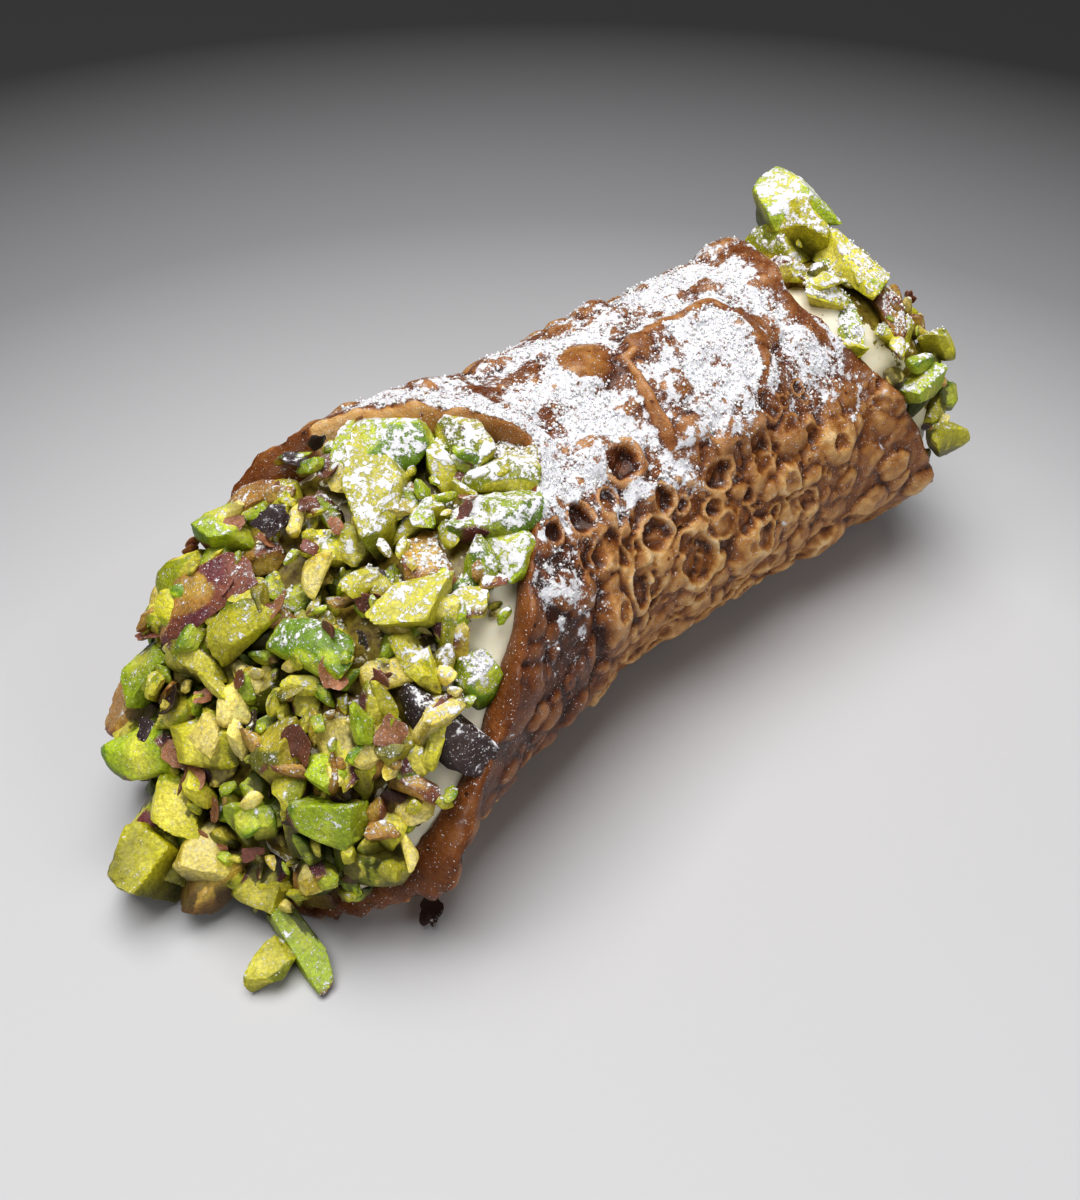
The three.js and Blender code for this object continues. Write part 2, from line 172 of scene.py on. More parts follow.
def plain_radius(x):
    """The outer radius: a parabola through the radii at the near end, the middle and the far end."""
    t = np.clip(x / HALF_LENGTH, -1, 1)
    belly = (RADIUS_FAR + RADIUS_NEAR) / 2 - RADIUS_MIDDLE
    return RADIUS_MIDDLE + (RADIUS_FAR - RADIUS_NEAR) / 2 * t + belly * t * t


def waist(x, angle):
    """What the waist takes off the radius: a bell curve along the tube, fading out underneath."""
    upper = smoothstep(-0.95, -0.3, np.sin(np.radians(angle)))
    return WAIST_DEPTH * bell(x - WAIST_X, WAIST_WIDTH) * upper


def from_seam(angle):
    """The signed angle from the seam, from -180 to 180 degrees, positive towards the camera's side."""
    return (angle - SEAM + 180) % 360 - 180


def rim_x(mouth, angle):
    """Where the dough ends: at the lower lip's tip, set back by 1 - sin(half the angle from the seam)^p."""
    slant = np.sin(np.radians(np.abs(from_seam(angle))) / 2) ** mouth["power"]
    return mouth["side"] * (HALF_LENGTH - mouth["setback"] * (1 - slant))


def tube_point(x, angle, over):
    """The point at a height over the plain tube: a circle in Y and Z about the bowed axis, cut at z = 0."""
    radius = plain_radius(x) - waist(x, angle) + over
    y = -BOW * (x / BOW_SPAN) ** 2 + radius * np.cos(np.radians(angle))
    z = plain_radius(x) - FLAT_DEPTH + radius * np.sin(np.radians(angle))
    x, y, z = np.broadcast_arrays(x, y, np.maximum(z, 0))
    return np.stack([x, y, z], axis=-1)


print("tube", round(2 * HALF_LENGTH, 1), "mm long, lower lips to", rim_x(NEAR, 285.0), rim_x(FAR, 285.0))

# %% [markdown]
# In hot fat the water in the dough turns to steam and raises blisters: domes with sharp creases where
# they meet, some of them burst into rings. A displacement texture could do this, but it can't know where
# the real ones are. So each blister is stamped on the grid by its own formula: the larger ones where the
# photograph shows them, then the solid's random ones, then hundreds of small ones from a seeded draw.

# %% Blisters: place along, angle, radius along, radius round, height (negative when it has burst)
BLISTERS = [
    (2.4, 92.5, 3.3, 3.0, 0.9),
    (-26.8, 168, 3.4, 3.4, 1.1),
    (10.5, 179, 3.8, 3.6, 1.7),
    (-10.5, 171, 2.6, 3.4, 1.7),
    (17.0, 161, 2.6, 2.4, 1.5),
    (24.5, 156, 3.4, 3.2, 1.4),
    (11.0, 68, 2.8, 2.4, 1.6),
    (-3.0, 66, 3.0, 2.6, 1.4),
    (18.5, 147, 2.8, 2.6, 1.3),
    (-2.5, 128, 3.2, 2.8, -1.4),
    (-2.2, 154, 2.5, 2.6, -1.2),
    (-6.0, 167, 2.2, 3.7, -1.3),
    (2.6, 171, 2.9, 4.4, -1.2),
    (7.5, 147, 2.4, 2.4, -1.2),
]
SMALL_BURST = [
    (1.2, 163, 1.7, 1.7, -1.0),
    (16.8, 162, 1.9, 1.9, -1.1),
    (12.2, 176, 2.2, 2.4, -1.2),
    (-9.8, 168, 1.5, 1.8, -1.0),
    (-10.0, 148, 1.4, 1.6, -0.9),
    (-14.5, 134, 1.6, 1.6, -0.9),
    (24.5, 156, 1.2, 1.2, -1.0),
    (13.5, 150, 1.5, 1.5, -0.8),
    (5.5, 157, 1.4, 1.4, -0.9),
]
SOLID_BLISTERS = 90
SOLID_BLISTER_SIZE = (1.8, 3.4)
SOLID_BLISTER_RISE = 0.4
SMALL_CROWDED = 560
SMALL_SPARSE = 1250
SMALL_SIZE = (0.5, 2.0)
BURST_SHARE = 0.3
CROWD_X = (-13.0, 27.0)
CROWD_ANGLE = (132.0, 238.0)
BAND_BUBBLES = 62
BAND_X = (-HALF_LENGTH, -13.0)
BAND_ANGLE = (125.0, 265.0)
BUBBLE_SIZE = (1.0, 2.3)
BUBBLE_RISE = 0.45
# Calm places: an angle and how far they reach to each side of it
CALM_TOP = (95.0, 35.0)
CALM_SIDE = (175.0, 65.0)
CALM_X = -14.0


def solid_blisters():
    """The random blisters of the solid, from the same draws."""
    i = np.arange(SOLID_BLISTERS)
    small, large = SOLID_BLISTER_SIZE
    size = small + (large - small) * draw(i, 3) ** 2
    x = HALF_LENGTH * (2 * draw(i, 1) - 1)
    around = size * (0.8 + 0.4 * draw(i, 4))
    return np.stack([x, 360 * draw(i, 2), size, around, size * SOLID_BLISTER_RISE], -1)


def band_bubbles(rng, count):
    """Low smooth bubbles on the near lip: height just under half the radius, none of them burst."""
    size = rng.uniform(*BUBBLE_SIZE, count)
    x = rng.uniform(*BAND_X, count)
    angle = rng.uniform(*BAND_ANGLE, count)
    around = size * rng.uniform(0.8, 1.2, count)
    return np.stack([x, angle, size, around, BUBBLE_RISE * size], -1)


def is_calm(x, angle):
    """Where no small blister bursts: on the top, and on the camera's side beside the near lip."""
    on_top = np.abs(angle - CALM_TOP[0]) < CALM_TOP[1]
    return on_top | ((x < CALM_X) & (np.abs(angle - CALM_SIDE[0]) < CALM_SIDE[1]))


def small_blisters(rng, count, x_range, angle_range):
    """Small blisters: the least radius plus a draw squared times the range, and lower at the far end."""
    low, high = SMALL_SIZE
    size = low + (high - low) * rng.random(count) ** 2
    rise = size * rng.uniform(0.3, 0.55, count)
    rise = np.where(rng.random(count) < BURST_SHARE, -rise, rise)
    x = rng.uniform(*x_range, count)
    rise = rise * (1 - 0.45 * smoothstep(20.0, 28.0, x))
    angle = rng.uniform(*angle_range, count)
    rise = np.where(is_calm(x, angle), 0.7 * np.abs(rise), rise)
    around = size * rng.uniform(0.8, 1.25, count)
    return np.stack([x, angle, size, around, rise], -1)


BLISTER_SEED = 41
blister_rng = np.random.default_rng(BLISTER_SEED)
blisters = np.concatenate(
    [
        np.array(BLISTERS, float),
        np.array(SMALL_BURST, float),
        solid_blisters(),
        small_blisters(blister_rng, SMALL_CROWDED, CROWD_X, CROWD_ANGLE),
        small_blisters(blister_rng, SMALL_SPARSE, (-HALF_LENGTH, HALF_LENGTH), (0.0, 360.0)),
        band_bubbles(blister_rng, BAND_BUBBLES),
    ]
)
print("blisters", len(blisters), "of which burst", int((blisters[:, 4] < 0).sum()))

# %% [markdown]
# Each stamp works on the whole grid at once. A dome is the top of an ellipsoid. A burst one is a ring with
# a hollow inside. Domes are joined by keeping the tallest, which leaves the sharp creases between them.

# %% Stamping blisters on a grid
DOME_POWER = 0.65
BURST_RING = 0.8
RING_WIDTH = 0.22
RING_RISE = 0.6
HOLLOW_SHARE = 0.74
HOLLOW_DEPTH = 0.7
WARP = 0.55
WARP_SIZE = 2.1


def warped(x, angle, points):
    """Places moved by smooth noise over the tube, so that round stamps come out uneven."""
    along = WARP * noise(points, WARP_SIZE, 15) + 0.3 * WARP * noise(points, WARP_SIZE / 3, 16)
    around = WARP * noise(points, WARP_SIZE, 17) + 0.3 * WARP * noise(points, WARP_SIZE / 3, 18)
    return x + along, angle + np.degrees(around / RADIUS_MIDDLE)


def share_of(x, angle, centre, turned, along, around):
    """How far a place lies from a centre, along and round the tube, as shares of two radii."""
    return (x - centre) / along, np.radians((angle - turned + 180) % 360 - 180) * RADIUS_MIDDLE / around


def stamp_blisters(x, angle, rows):
    """The tallest dome or ring over each point and the depth of the deepest hollow."""
    tallest = np.zeros_like(x)
    hollow = np.zeros_like(x)
    for centre, turned, along, around, rise in rows:
        u, v = share_of(x, angle, centre, turned, along, around)
        hit = np.nonzero(u * u + v * v < 1)
        q = np.hypot(u[hit], v[hit])
        if rise > 0:
            height = rise * (1 - q * q) ** DOME_POWER
        else:
            ring = np.clip(1 - ((q - BURST_RING) / RING_WIDTH) ** 2, 0, 1)
            height = -rise * RING_RISE * np.sqrt(ring)
            bowl = np.sqrt(np.clip(1 - (q / HOLLOW_SHARE) ** 2, 0, 1))
            hollow[hit] = np.maximum(hollow[hit], -rise * HOLLOW_DEPTH * bowl)
        tallest[hit] = np.maximum(tallest[hit], height)
    return tallest, hollow


# %% [markdown]
# On the top lies the corner of the outer layer of dough: a nearly square patch with a rounded bare edge.
# The edge is a ridge along a few straight stretches, taken from the photograph as places on the tube, and
# the patch inside is a low plateau. The back lips of both mouths curl up a little, and so does the near
# lip low on the camera's side. Curls are a place, an angle, two radii and a height.

# %% The patch, its edge, the seam and the curled lips
PATCH_EDGE = [
    (10.5, 96),
    (5.8, 100),
    (4.2, 120),
    (4.0, 134),
    (5.4, 139),
    (13.0, 141),
    (18.8, 123),
    (20.8, 114),
    (21.5, 103),
    (20.0, 94),
    (10.5, 96),
]
PATCH_SIDE = [(22.5, 108), (21.5, 126), (16.0, 146)]
EDGE_HEIGHT = 0.6
EDGE_WIDTH = 0.6
PATCH = {"x": 12.6, "angle": 118.0, "along": 8.4, "round": 7.6, "height": 1.2, "edge": 0.22}
FAR_FOLD = [(28.2, 122), (28.2, 97), (31.5, 72)]
FOLD_HEIGHT = 0.5
FOLD_WIDTH = 2.2
NEAR_CREASE = [(-9.0, 118), (-10.5, 140), (-12.5, 165), (-14.0, 190), (-17.0, 215)]
CREASE_DEPTH = 0.7
CREASE_WIDTH = 1.3
CURLS = [(36.0, 78.0, 9.0, 11.0, 2.2), (-24.0, 52.0, 15.0, 13.0, 1.7), (-38.5, 204.0, 5.5, 6.0, 2.1)]


def distance_to_path(x, angle, path):
    """The distance in mm over the tube to a path: the shortest to any of its straight stretches."""
    nearest = np.full(x.shape, 1e3)
    flat = [(px, math.radians(pa) * RADIUS_MIDDLE) for px, pa in path]
    arc = np.radians(angle % 360) * RADIUS_MIDDLE
    for (ax, ay), (bx, by) in zip(flat, flat[1:]):
        length = (bx - ax) ** 2 + (by - ay) ** 2
        t = np.clip(((x - ax) * (bx - ax) + (arc - ay) * (by - ay)) / length, 0, 1)
        nearest = np.minimum(nearest, np.hypot(x - ax - t * (bx - ax), arc - ay - t * (by - ay)))
    return nearest


def broad_relief(x, angle):
    """The seam's step, the patch and the curled lips, as on the solid, then folds, edges and creases."""
    behind = -from_seam(angle) / SEAM_FADE
    height = np.where((behind > 0) & (behind < 1), SEAM_STEP * (1 - behind), 0.0)
    height = height * smoothstep(-0.02, 0.16, behind)
    u, v = share_of(x, angle, PATCH["x"], PATCH["angle"], PATCH["along"], PATCH["round"])
    square = (u**4 + v**4) ** 0.25
    height += PATCH["height"] * (1 - smoothstep(1 - PATCH["edge"], 1 + PATCH["edge"], square))
    for centre, turned, along, around, rise in CURLS:
        u, v = share_of(x, angle, centre, turned, along, around)
        height += rise * np.exp(-(u * u + v * v))
    height += FOLD_HEIGHT * bell(distance_to_path(x, angle, FAR_FOLD), FOLD_WIDTH)
    height -= CREASE_DEPTH * bell(distance_to_path(x, angle, NEAR_CREASE), CREASE_WIDTH)
    return height


# %% [markdown]
# The dough is one closed surface on a grid: out along the blistered outside, round the thick lip of the
# far mouth, back along the inside and round the near lip. Columns are closer on the side that shows its
# blisters to the camera, so that the small ones keep their shape.

# %% The dough's grid
FRONT = (55.0, 240.0)
FRONT_COLUMNS = 226
BACK_COLUMNS = 112
OUTER_ROWS = 244
LIP_ROWS = 6
INNER_ROWS = 16
LIP_JITTER = 0.55


def dough_angles():
    """The columns' angles: evenly spaced in the front stretch and wider apart in the rest."""
    front = np.linspace(FRONT[0], FRONT[1], FRONT_COLUMNS, endpoint=False)
    back = np.linspace(FRONT[1], FRONT[0] + 360, BACK_COLUMNS, endpoint=False)
    return np.concatenate([front, back])


def rough_rim(mouth, angle):
    """The solid's edge plus noise round a circle, so that it joins up, in two sizes."""
    around = np.radians(angle)
    ring = np.stack([np.cos(around), np.sin(around), np.full_like(around, mouth["side"])], -1) * 20
    return rim_x(mouth, angle) + LIP_JITTER * (0.7 * noise(ring, 5.0, 3) + 0.3 * noise(ring, 1.6, 4))


angles = dough_angles()
near_edge = rough_rim(NEAR, angles)
far_edge = rough_rim(FAR, angles)
share = np.linspace(0, 1, OUTER_ROWS)[:, None]
outer_x = near_edge * (1 - share) + far_edge * share
outer_angle = np.broadcast_to(angles, outer_x.shape)
plain = tube_point(outer_x, outer_angle, 0.0)
print("outer grid", outer_x.shape, "step", round(float(np.ptp(outer_x[:, 0]) / OUTER_ROWS), 2), "mm along")

# %% [markdown]
# The heights are added up: broad forms, blisters or the patch's edge, whichever stands higher, slow folds,
# and fine pimples, which are coarser under the near lip. The patch's edge is widest at its near corner.

# %% Heights over the plain tube
WIDE_EDGE_X = 4.6
WIDE_EDGE_REACH = 2.2
RAGGED_END_X = -8.0
RAGGED_ANGLES = (195.0, 220.0, 250.0, 285.0)
warped_x, warped_angle = warped(outer_x, outer_angle, plain)
dome, hollow = stamp_blisters(warped_x, warped_angle, blisters)
edge_distance = distance_to_path(warped_x, warped_angle, PATCH_EDGE)
edge_width = EDGE_WIDTH * (1 + 0.5 * noise(plain, 4.5, 19))
edge_width = edge_width * (1 + 0.8 * bell(outer_x - WIDE_EDGE_X, WIDE_EDGE_REACH))
edge_form = np.sqrt(np.clip(1 - (edge_distance / edge_width) ** 2, 0, 1))
ridge = EDGE_HEIGHT * edge_form * (0.75 + 0.5 * noise(plain, 5.0, 20))
folds = 0.3 * noise(plain, 8.0, 11) + 0.18 * noise(plain, 3.2, 12)
ragged = between(outer_angle, *RAGGED_ANGLES) * (outer_x < RAGGED_END_X)
pimples = (0.1 + 0.5 * ragged) * noise(plain, 1.3, 13) + (0.06 + 0.2 * ragged) * noise(plain, 0.65, 14)
relief = broad_relief(outer_x, outer_angle) + np.maximum(dome, ridge) - hollow + folds + pimples
print("relief from", relief.min().round(2), "to", relief.max().round(2), "mm")

# %% [markdown]
# Colour follows the relief: thin blisters fry pale and glassy, which is the dough's own colour, and creases
# and hollows are darker, partly in their own colour and partly as painted shade. So the grid also gives
# each point a number for how far it stands out from its surroundings: its height less the height blurred
# over a millimetre or so.

# %% How far each point stands out
BROAD_PASSES = 24
FINE_PASSES = 6


def blur(field, passes):
    """The field averaged with its four neighbours again and again; columns wrap round the tube."""
    for _ in range(passes):
        up = np.vstack([field[:1], field[:-1]])
        down = np.vstack([field[1:], field[-1:]])
        field = (2 * field + up + down + np.roll(field, 1, 1) + np.roll(field, -1, 1)) / 6
    return field


broad_form = (relief - blur(relief, BROAD_PASSES)) / 0.4
fine_form = (relief - blur(relief, FINE_PASSES)) / 0.16
# Low values darken creases and hollows in the colour: partly the dough's own darker colour, partly painted
# shade.
stand_out = np.clip(0.6 * broad_form + 0.4 * fine_form, -0.78, 1)
blistered = np.clip(blur(np.where(dome > 0.08, 1.0, 0.0), 3), 0, 1)
print("stand out", np.percentile(stand_out, [5, 50, 95]).round(2))

# %% [markdown]
# Icing sugar fell from above. It lies nearly solid along the top, thins out down the camera's side, and
# has a few drifts on the near lip. It keeps off steep edges and the tops of bare blisters. The grid
# stores how much lies at each point, and the material breaks that into grains and islands.

# %% Where sugar lies on the dough
SUGAR_ANGLE = 97.0
FELL_ON_DOUGH = [
    (-40, 0.36),
    (-30, 0.44),
    (-20, 0.54),
    (-12, 0.64),
    (-4, 0.7),
    (26, 0.7),
    (32, 0.62),
    (38, 0.56),
    (46, 0.4),
]
DRIFT_X = -16.5
DRIFT_WIDTH = 5.0


def sugar_on_dough(x, angle, points):
    """Cover from 0 to 1: the cosine to a line just past the top, times how much fell at each place."""
    from_top = np.cos(np.radians(angle - SUGAR_ANGLE))
    fell = along_tube(x, FELL_ON_DOUGH)
    fell = fell + 0.12 * noise(points, 6.0, 24) + 0.08 * noise(points, 2.5, 25)
    fell = fell - 0.36 * smoothstep(0.22, 0.52, noise(points, 2.8, 26))
    cover = smoothstep(0.42, 0.95, from_top + 0.14 * noise(points, 7.0, 21)) * fell
    drift = bell(x - DRIFT_X, DRIFT_WIDTH)
    drift = drift * smoothstep(0.1, 0.45, from_top + 0.2 * noise(points, 4.0, 22))
    drift = drift * np.clip(0.7 + 1.6 * noise(points, 1.3, 29), 0, 1.1)
    return np.maximum(cover, 0.6 * drift)


sugar = sugar_on_dough(outer_x, outer_angle, plain)
print("mean cover", float(sugar.mean().round(3)))

# %% [markdown]
# The cover is thinned where sugar slid off: on the smooth blister on top, on the patch's ridge, on all
# that stands out, in hollows, and beside the patch and the far fold. The flat of the patch holds a little
# more, and a few stray specks lie wherever the sky is in sight. Thick sugar raises the surface slightly.

# %% Where sugar slid off
SUGAR_DEPTH = 0.2
STRAY_SUGAR = 0.1
BARE_RADII = (3.0, 2.5)
PATCH_SUGAR_ANGLE = 116.0
PATCH_SUGAR_RADII = (9.0, 7.0)
u, v = share_of(outer_x, outer_angle, *BLISTERS[0][:2], *BARE_RADII)
bare_blister = np.exp(-(u * u + v * v))
sugar = sugar * (1 - 0.95 * smoothstep(0.3, 0.6, bare_blister))
sugar = sugar * (1 - 0.8 * smoothstep(0.2, 0.7, ridge / EDGE_HEIGHT))
sugar = sugar * (1 - 0.45 * smoothstep(0.1, 0.7, stand_out)) * (1 - 0.8 * smoothstep(0.1, 0.5, hollow))
beside_fold = bell(distance_to_path(warped_x, warped_angle, FAR_FOLD), 1.3)
beside_patch = bell(distance_to_path(warped_x, warped_angle, PATCH_SIDE), 1.5)
sugar = sugar * (1 - 0.6 * beside_patch) * (1 - 0.85 * beside_fold)
u, v = share_of(outer_x, outer_angle, PATCH["x"], PATCH_SUGAR_ANGLE, *PATCH_SUGAR_RADII)
inside_patch = smoothstep(1.15, 0.85, np.hypot(u, v))
stray = STRAY_SUGAR * smoothstep(-0.25, 0.2, np.cos(np.radians(outer_angle - SUGAR_ANGLE)))
sugar = np.clip(np.maximum(sugar + 0.12 * inside_patch * (sugar > 0.12), stray), 0, 1)
drift_depth = SUGAR_DEPTH * smoothstep(0.4, 0.8, sugar + 0.35 * noise(plain, 1.1, 23))
relief = relief + drift_depth
print("sugared share of the outside", float((sugar > 0.5).mean().round(3)))

# %% [markdown]
# A helper turns arrays into a Blender mesh: points in mm, a list of arrays of faces, one array for each
# number of corners, and any number of named point attributes. The object stays at the origin, so its
# Object coordinates are the part's own.

# %% Helpers that make meshes
def grid_faces(rows, columns, wrap=False):
    """Quads between neighbouring rows, whose columns close into rings; wrap joins the last row on."""
    r = np.arange(rows if wrap else rows - 1)[:, None]
    c = np.arange(columns)[None, :]
    s = (r + 1) % rows
    d = (c + 1) % columns
    return np.stack([r * columns + c, r * columns + d, s * columns + d, s * columns + c], -1).reshape(-1, 4)


def add_attribute(mesh, name, values):
    """A point attribute: one number each, or a colour where each point has four."""
    values = np.ascontiguousarray(values, dtype=np.float32)
    if values.ndim == 1:
        mesh.attributes.new(name, "FLOAT", "POINT").data.foreach_set("value", values)
    else:
        mesh.attributes.new(name, "FLOAT_COLOR", "POINT").data.foreach_set("color", values.ravel())


def make_piece(name, points, face_sets, material, attributes=None, crisp=None):
    """A piece of the cannolo: a mesh in metres with its material and attributes, riding on the part."""
    mesh = bpy.data.meshes.new(name)
    rows = [row for faces in face_sets for row in faces.tolist()]
    mesh.from_pydata((points.reshape(-1, 3) * MM).tolist(), [], rows)
    mesh.polygons.foreach_set("use_smooth", np.ones(len(rows), bool))
    if crisp:
        mesh.set_sharp_from_angle(angle=math.radians(crisp))
    for key, values in (attributes or {}).items():
        add_attribute(mesh, key, values)
    mesh.materials.append(material)
    piece = bpy.data.objects.new(name, mesh)
    bpy.context.scene.collection.objects.link(piece)
    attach(piece, "root")
    triangles = sum(len(faces) * (faces.shape[1] - 2) for faces in face_sets)
    print(name, len(mesh.vertices), "points", triangles, "triangles")
    return piece


# %% [markdown]
# Materials are node trees. A short helper adds a node, sets its inputs and links what is given as another
# node's output. Colours are written as the eye reads them off a picture and turned into the linear
# values that light works with.

# %% Helpers that make materials
def linear(red, green, blue):
    """Screen values from 0 to 255 as linear light: ((c + 0.055) / 1.055)^2.4 above a small straight part."""
    screen = np.array([red, green, blue]) / 255
    light = np.where(screen > 0.04045, ((screen + 0.055) / 1.055) ** 2.4, screen / 12.92)
    return (*[float(c) for c in light], 1.0)


class Tree:
    """A material's node tree with a few short ways to add to it."""

    def __init__(self, name):
        self.material = bpy.data.materials.new(name)
        self.material.use_nodes = True
        self.nodes = self.material.node_tree.nodes
        self.links = self.material.node_tree.links
        self.nodes.clear()
        self.place = self.add("ShaderNodeTexCoord").outputs["Object"]

    def add(self, kind, settings=None, inputs=None):
        """A node of a kind. settings are its properties; inputs are sockets' values or links."""
        node = self.nodes.new(kind)
        for key, value in (settings or {}).items():
            setattr(node, key, value)
        for key, value in (inputs or {}).items():
            if isinstance(value, bpy.types.NodeSocket):
                self.links.new(value, node.inputs[key])
            else:
                node.inputs[key].default_value = value
        return node

    def attribute(self, name):
        """A point attribute's number."""
        return self.add("ShaderNodeAttribute", {"attribute_name": name}).outputs["Fac"]

    def tint(self, name):
        """A point attribute's colour."""
        return self.add("ShaderNodeAttribute", {"attribute_name": name}).outputs["Color"]

    def noise(self, size, detail=2.0, rough=0.5):
        """Noise from 0 to 1 with features of a size in mm."""
        inputs = {"Vector": self.place, "Scale": 1 / (size * MM), "Detail": detail, "Roughness": rough}
        return self.add("ShaderNodeTexNoise", {}, inputs).outputs["Fac"]

    def cells(self, size, feature="F1"):
        """The distance to the nearest of scattered points that lie about a size in mm apart."""
        inputs = {"Vector": self.place, "Scale": 1 / (size * MM)}
        return self.add("ShaderNodeTexVoronoi", {"feature": feature}, inputs).outputs["Distance"]

    def math(self, operation, a, b=0.0, c=0.0):
        """One step of arithmetic on numbers or sockets."""
        return self.add("ShaderNodeMath", {"operation": operation}, {0: a, 1: b, 2: c}).outputs[0]

    def remap(self, value, low, high, to_low=0.0, to_high=1.0):
        """value from low..high to to_low..to_high, smoothly, and clamped."""
        inputs = {"Value": value, "From Min": low, "From Max": high, "To Min": to_low, "To Max": to_high}
        return self.add("ShaderNodeMapRange", {"interpolation_type": "SMOOTHSTEP"}, inputs).outputs["Result"]

    def mix(self, share, a, b):
        """Colour a, turning into colour b as share goes from 0 to 1."""
        node = self.add("ShaderNodeMix", {"data_type": "RGBA"}, {0: share})
        for socket, value in ((node.inputs[6], a), (node.inputs[7], b)):
            if isinstance(value, bpy.types.NodeSocket):
                self.links.new(value, socket)
            else:
                socket.default_value = value
        return node.outputs[2]

    def ramp(self, value, stops):
        """Colours along a number: stops are pairs of a place from 0 to 1 and a colour."""
        node = self.add("ShaderNodeValToRGB", {}, {"Fac": value})
        elements = node.color_ramp.elements
        elements[0].position, elements[0].color = stops[0]
        elements[1].position, elements[1].color = stops[-1]
        for place, colour in stops[1:-1]:
            elements.new(place).color = colour
        return node.outputs["Color"]

    def bump(self, height, distance, strength=1.0, under=None):
        """A bump of a height field, whose full range is a distance in mm."""
        inputs = {"Height": height, "Distance": distance * MM, "Strength": strength}
        if under is not None:
            inputs["Normal"] = under
        return self.add("ShaderNodeBump", {}, inputs).outputs["Normal"]

    def finish(self, inputs):
        """The Principled shader with these inputs, and the output."""
        shader = self.add("ShaderNodeBsdfPrincipled", {}, inputs)
        self.add("ShaderNodeOutputMaterial", {}, {"Surface": shader.outputs["BSDF"]})
        return self.material


# %% [markdown]
# Sugar is the same on dough and nuts: white, matt and grainy. A mask says where it lies: the amount that
# the mesh stores, broken up by noise of three sizes, and cut sharply, so that it ends in islands and
# specks as a real dusting does.

# %% The sugar mask
SUGAR_WHITE = linear(236, 236, 241)
DUST = 0.05


def sugar_mask(tree, amount, size=1.0):
    """0 where bare, 1 where sugar lies: the amount against noise of 2.4, 0.8 and 0.25 mm, plus dust."""
    coarse = tree.noise(2.4 * size, 3.0, 0.6)
    middle = tree.noise(0.8 * size, 3.0, 0.6)
    fine = tree.noise(0.25, 2.0, 0.6)
    grain = tree.math("MULTIPLY_ADD", middle, 0.42, tree.math("MULTIPLY", fine, 0.12))
    grain = tree.math("MULTIPLY_ADD", coarse, 0.46, grain)
    level = tree.math("ADD", amount, tree.math("MULTIPLY_ADD", grain, 3.4, -1.7))
    level = tree.math("MULTIPLY", level, tree.remap(amount, 0.0, 0.12))
    clumps = tree.remap(level, 0.38, 0.62)
    speck = tree.math("MULTIPLY_ADD", amount, 0.16, tree.noise(0.22, 1.0, 0.5))
    specks = tree.math("MULTIPLY", tree.remap(speck, 0.69, 0.73), tree.remap(amount, 0.0, 0.03))
    thin = tree.remap(level, 0.1, 0.5, 0.0, DUST)
    thin = tree.math("MAXIMUM", thin, tree.math("MULTIPLY", specks, 0.8))
    return tree.math("MAXIMUM", clumps, thin)


# %% [markdown]
# Fried dough is golden to reddish brown, and oily. Thin blisters are paler, tan and a little glassy, and
# creases and the flat dough between them are darker and redder, partly in their own colour and partly as
# painted shade. The lower camera side is the palest. A ramp over how far a point stands out gives the
# first, and slow noise shifts it.

# %% The fried dough's material
def dough_material():
    """Fried dough with sugar on it, from the attributes stand_out, pale and sugar."""
    t = Tree("fried_dough")
    mottle = t.noise(5.0, 3.0, 0.6)
    speck = t.noise(0.55, 3.0, 0.65)
    bubbles = t.math("SUBTRACT", 1.0, t.cells(1.2, "SMOOTH_F1"))
    # stand_out drives both ramps: its low end is partly the dough's darker colour, partly painted shade in
    # creases and hollows.
    height = t.math("MULTIPLY_ADD", t.attribute("stand_out"), 0.5, 0.4)
    foam = t.math("MULTIPLY", t.attribute("pale"), t.math("MULTIPLY_ADD", bubbles, 0.5, -0.3))
    height = t.math("ADD", height, foam)
    pinhole = t.remap(t.cells(2.1), 0.06, 0.15, 1.0, 0.0)
    height = t.math("SUBTRACT", height, t.math("MULTIPLY", pinhole, 0.4))
    height = t.math("ADD", height, t.math("MULTIPLY_ADD", mottle, 0.8, -0.4))
    height = t.math("ADD", height, t.math("MULTIPLY_ADD", speck, 0.24, -0.12))
    deep = t.ramp(
        height,
        [
            (0.0, linear(62, 26, 6)),
            (0.3, linear(114, 60, 18)),
            (0.5, linear(142, 88, 42)),
            (0.72, linear(182, 127, 75)),
            (1.0, linear(214, 164, 112)),
        ],
    )
    light = t.ramp(
        height,
        [
            (0.0, linear(90, 46, 12)),
            (0.3, linear(158, 98, 38)),
            (0.52, linear(199, 145, 79)),
            (0.75, linear(224, 181, 118)),
            (1.0, linear(242, 213, 163)),
        ],
    )
    crust = t.mix(t.attribute("pale"), deep, light)
    mask = sugar_mask(t, t.attribute("sugar"))
    colour = t.mix(mask, crust, SUGAR_WHITE)
    gloss = t.remap(speck, 0.3, 0.7, 0.26, 0.46)
    oily = t.math("MULTIPLY", gloss, t.math("SUBTRACT", 1.0, mask))
    rough = t.math("MULTIPLY_ADD", mask, 0.92, oily)
    small = t.bump(bubbles, 0.35, t.math("MULTIPLY_ADD", t.attribute("pale"), 0.6, 0.15))
    pores = t.bump(t.noise(0.45, 4.0, 0.65), 0.26, 0.9, small)
    sandy = t.bump(t.noise(0.16, 2.0, 0.7), 0.16, 0.8, pores)
    crumbs = t.bump(mask, 0.12, 0.8, sandy)
    return t.finish(
        {
            "Base Color": colour,
            "Roughness": rough,
            "Normal": crumbs,
            "Coat Weight": 0.3,
            "Coat Roughness": 0.2,
            "Subsurface Weight": 0.08,
            "Subsurface Radius": (1.0, 0.45, 0.2),
            "Subsurface Scale": 0.001,
            "Specular IOR Level": 0.3,
        }
    )


dough_finish = dough_material()

# %% [markdown]
# The surface goes once round: the outside lifted by the relief, the far lip, the inside, which is a little
# lumpy, and the near lip. The last row is joined to the first, so the wall is closed.

# %% The dough as one closed surface
LIP_SWELL = 0.3


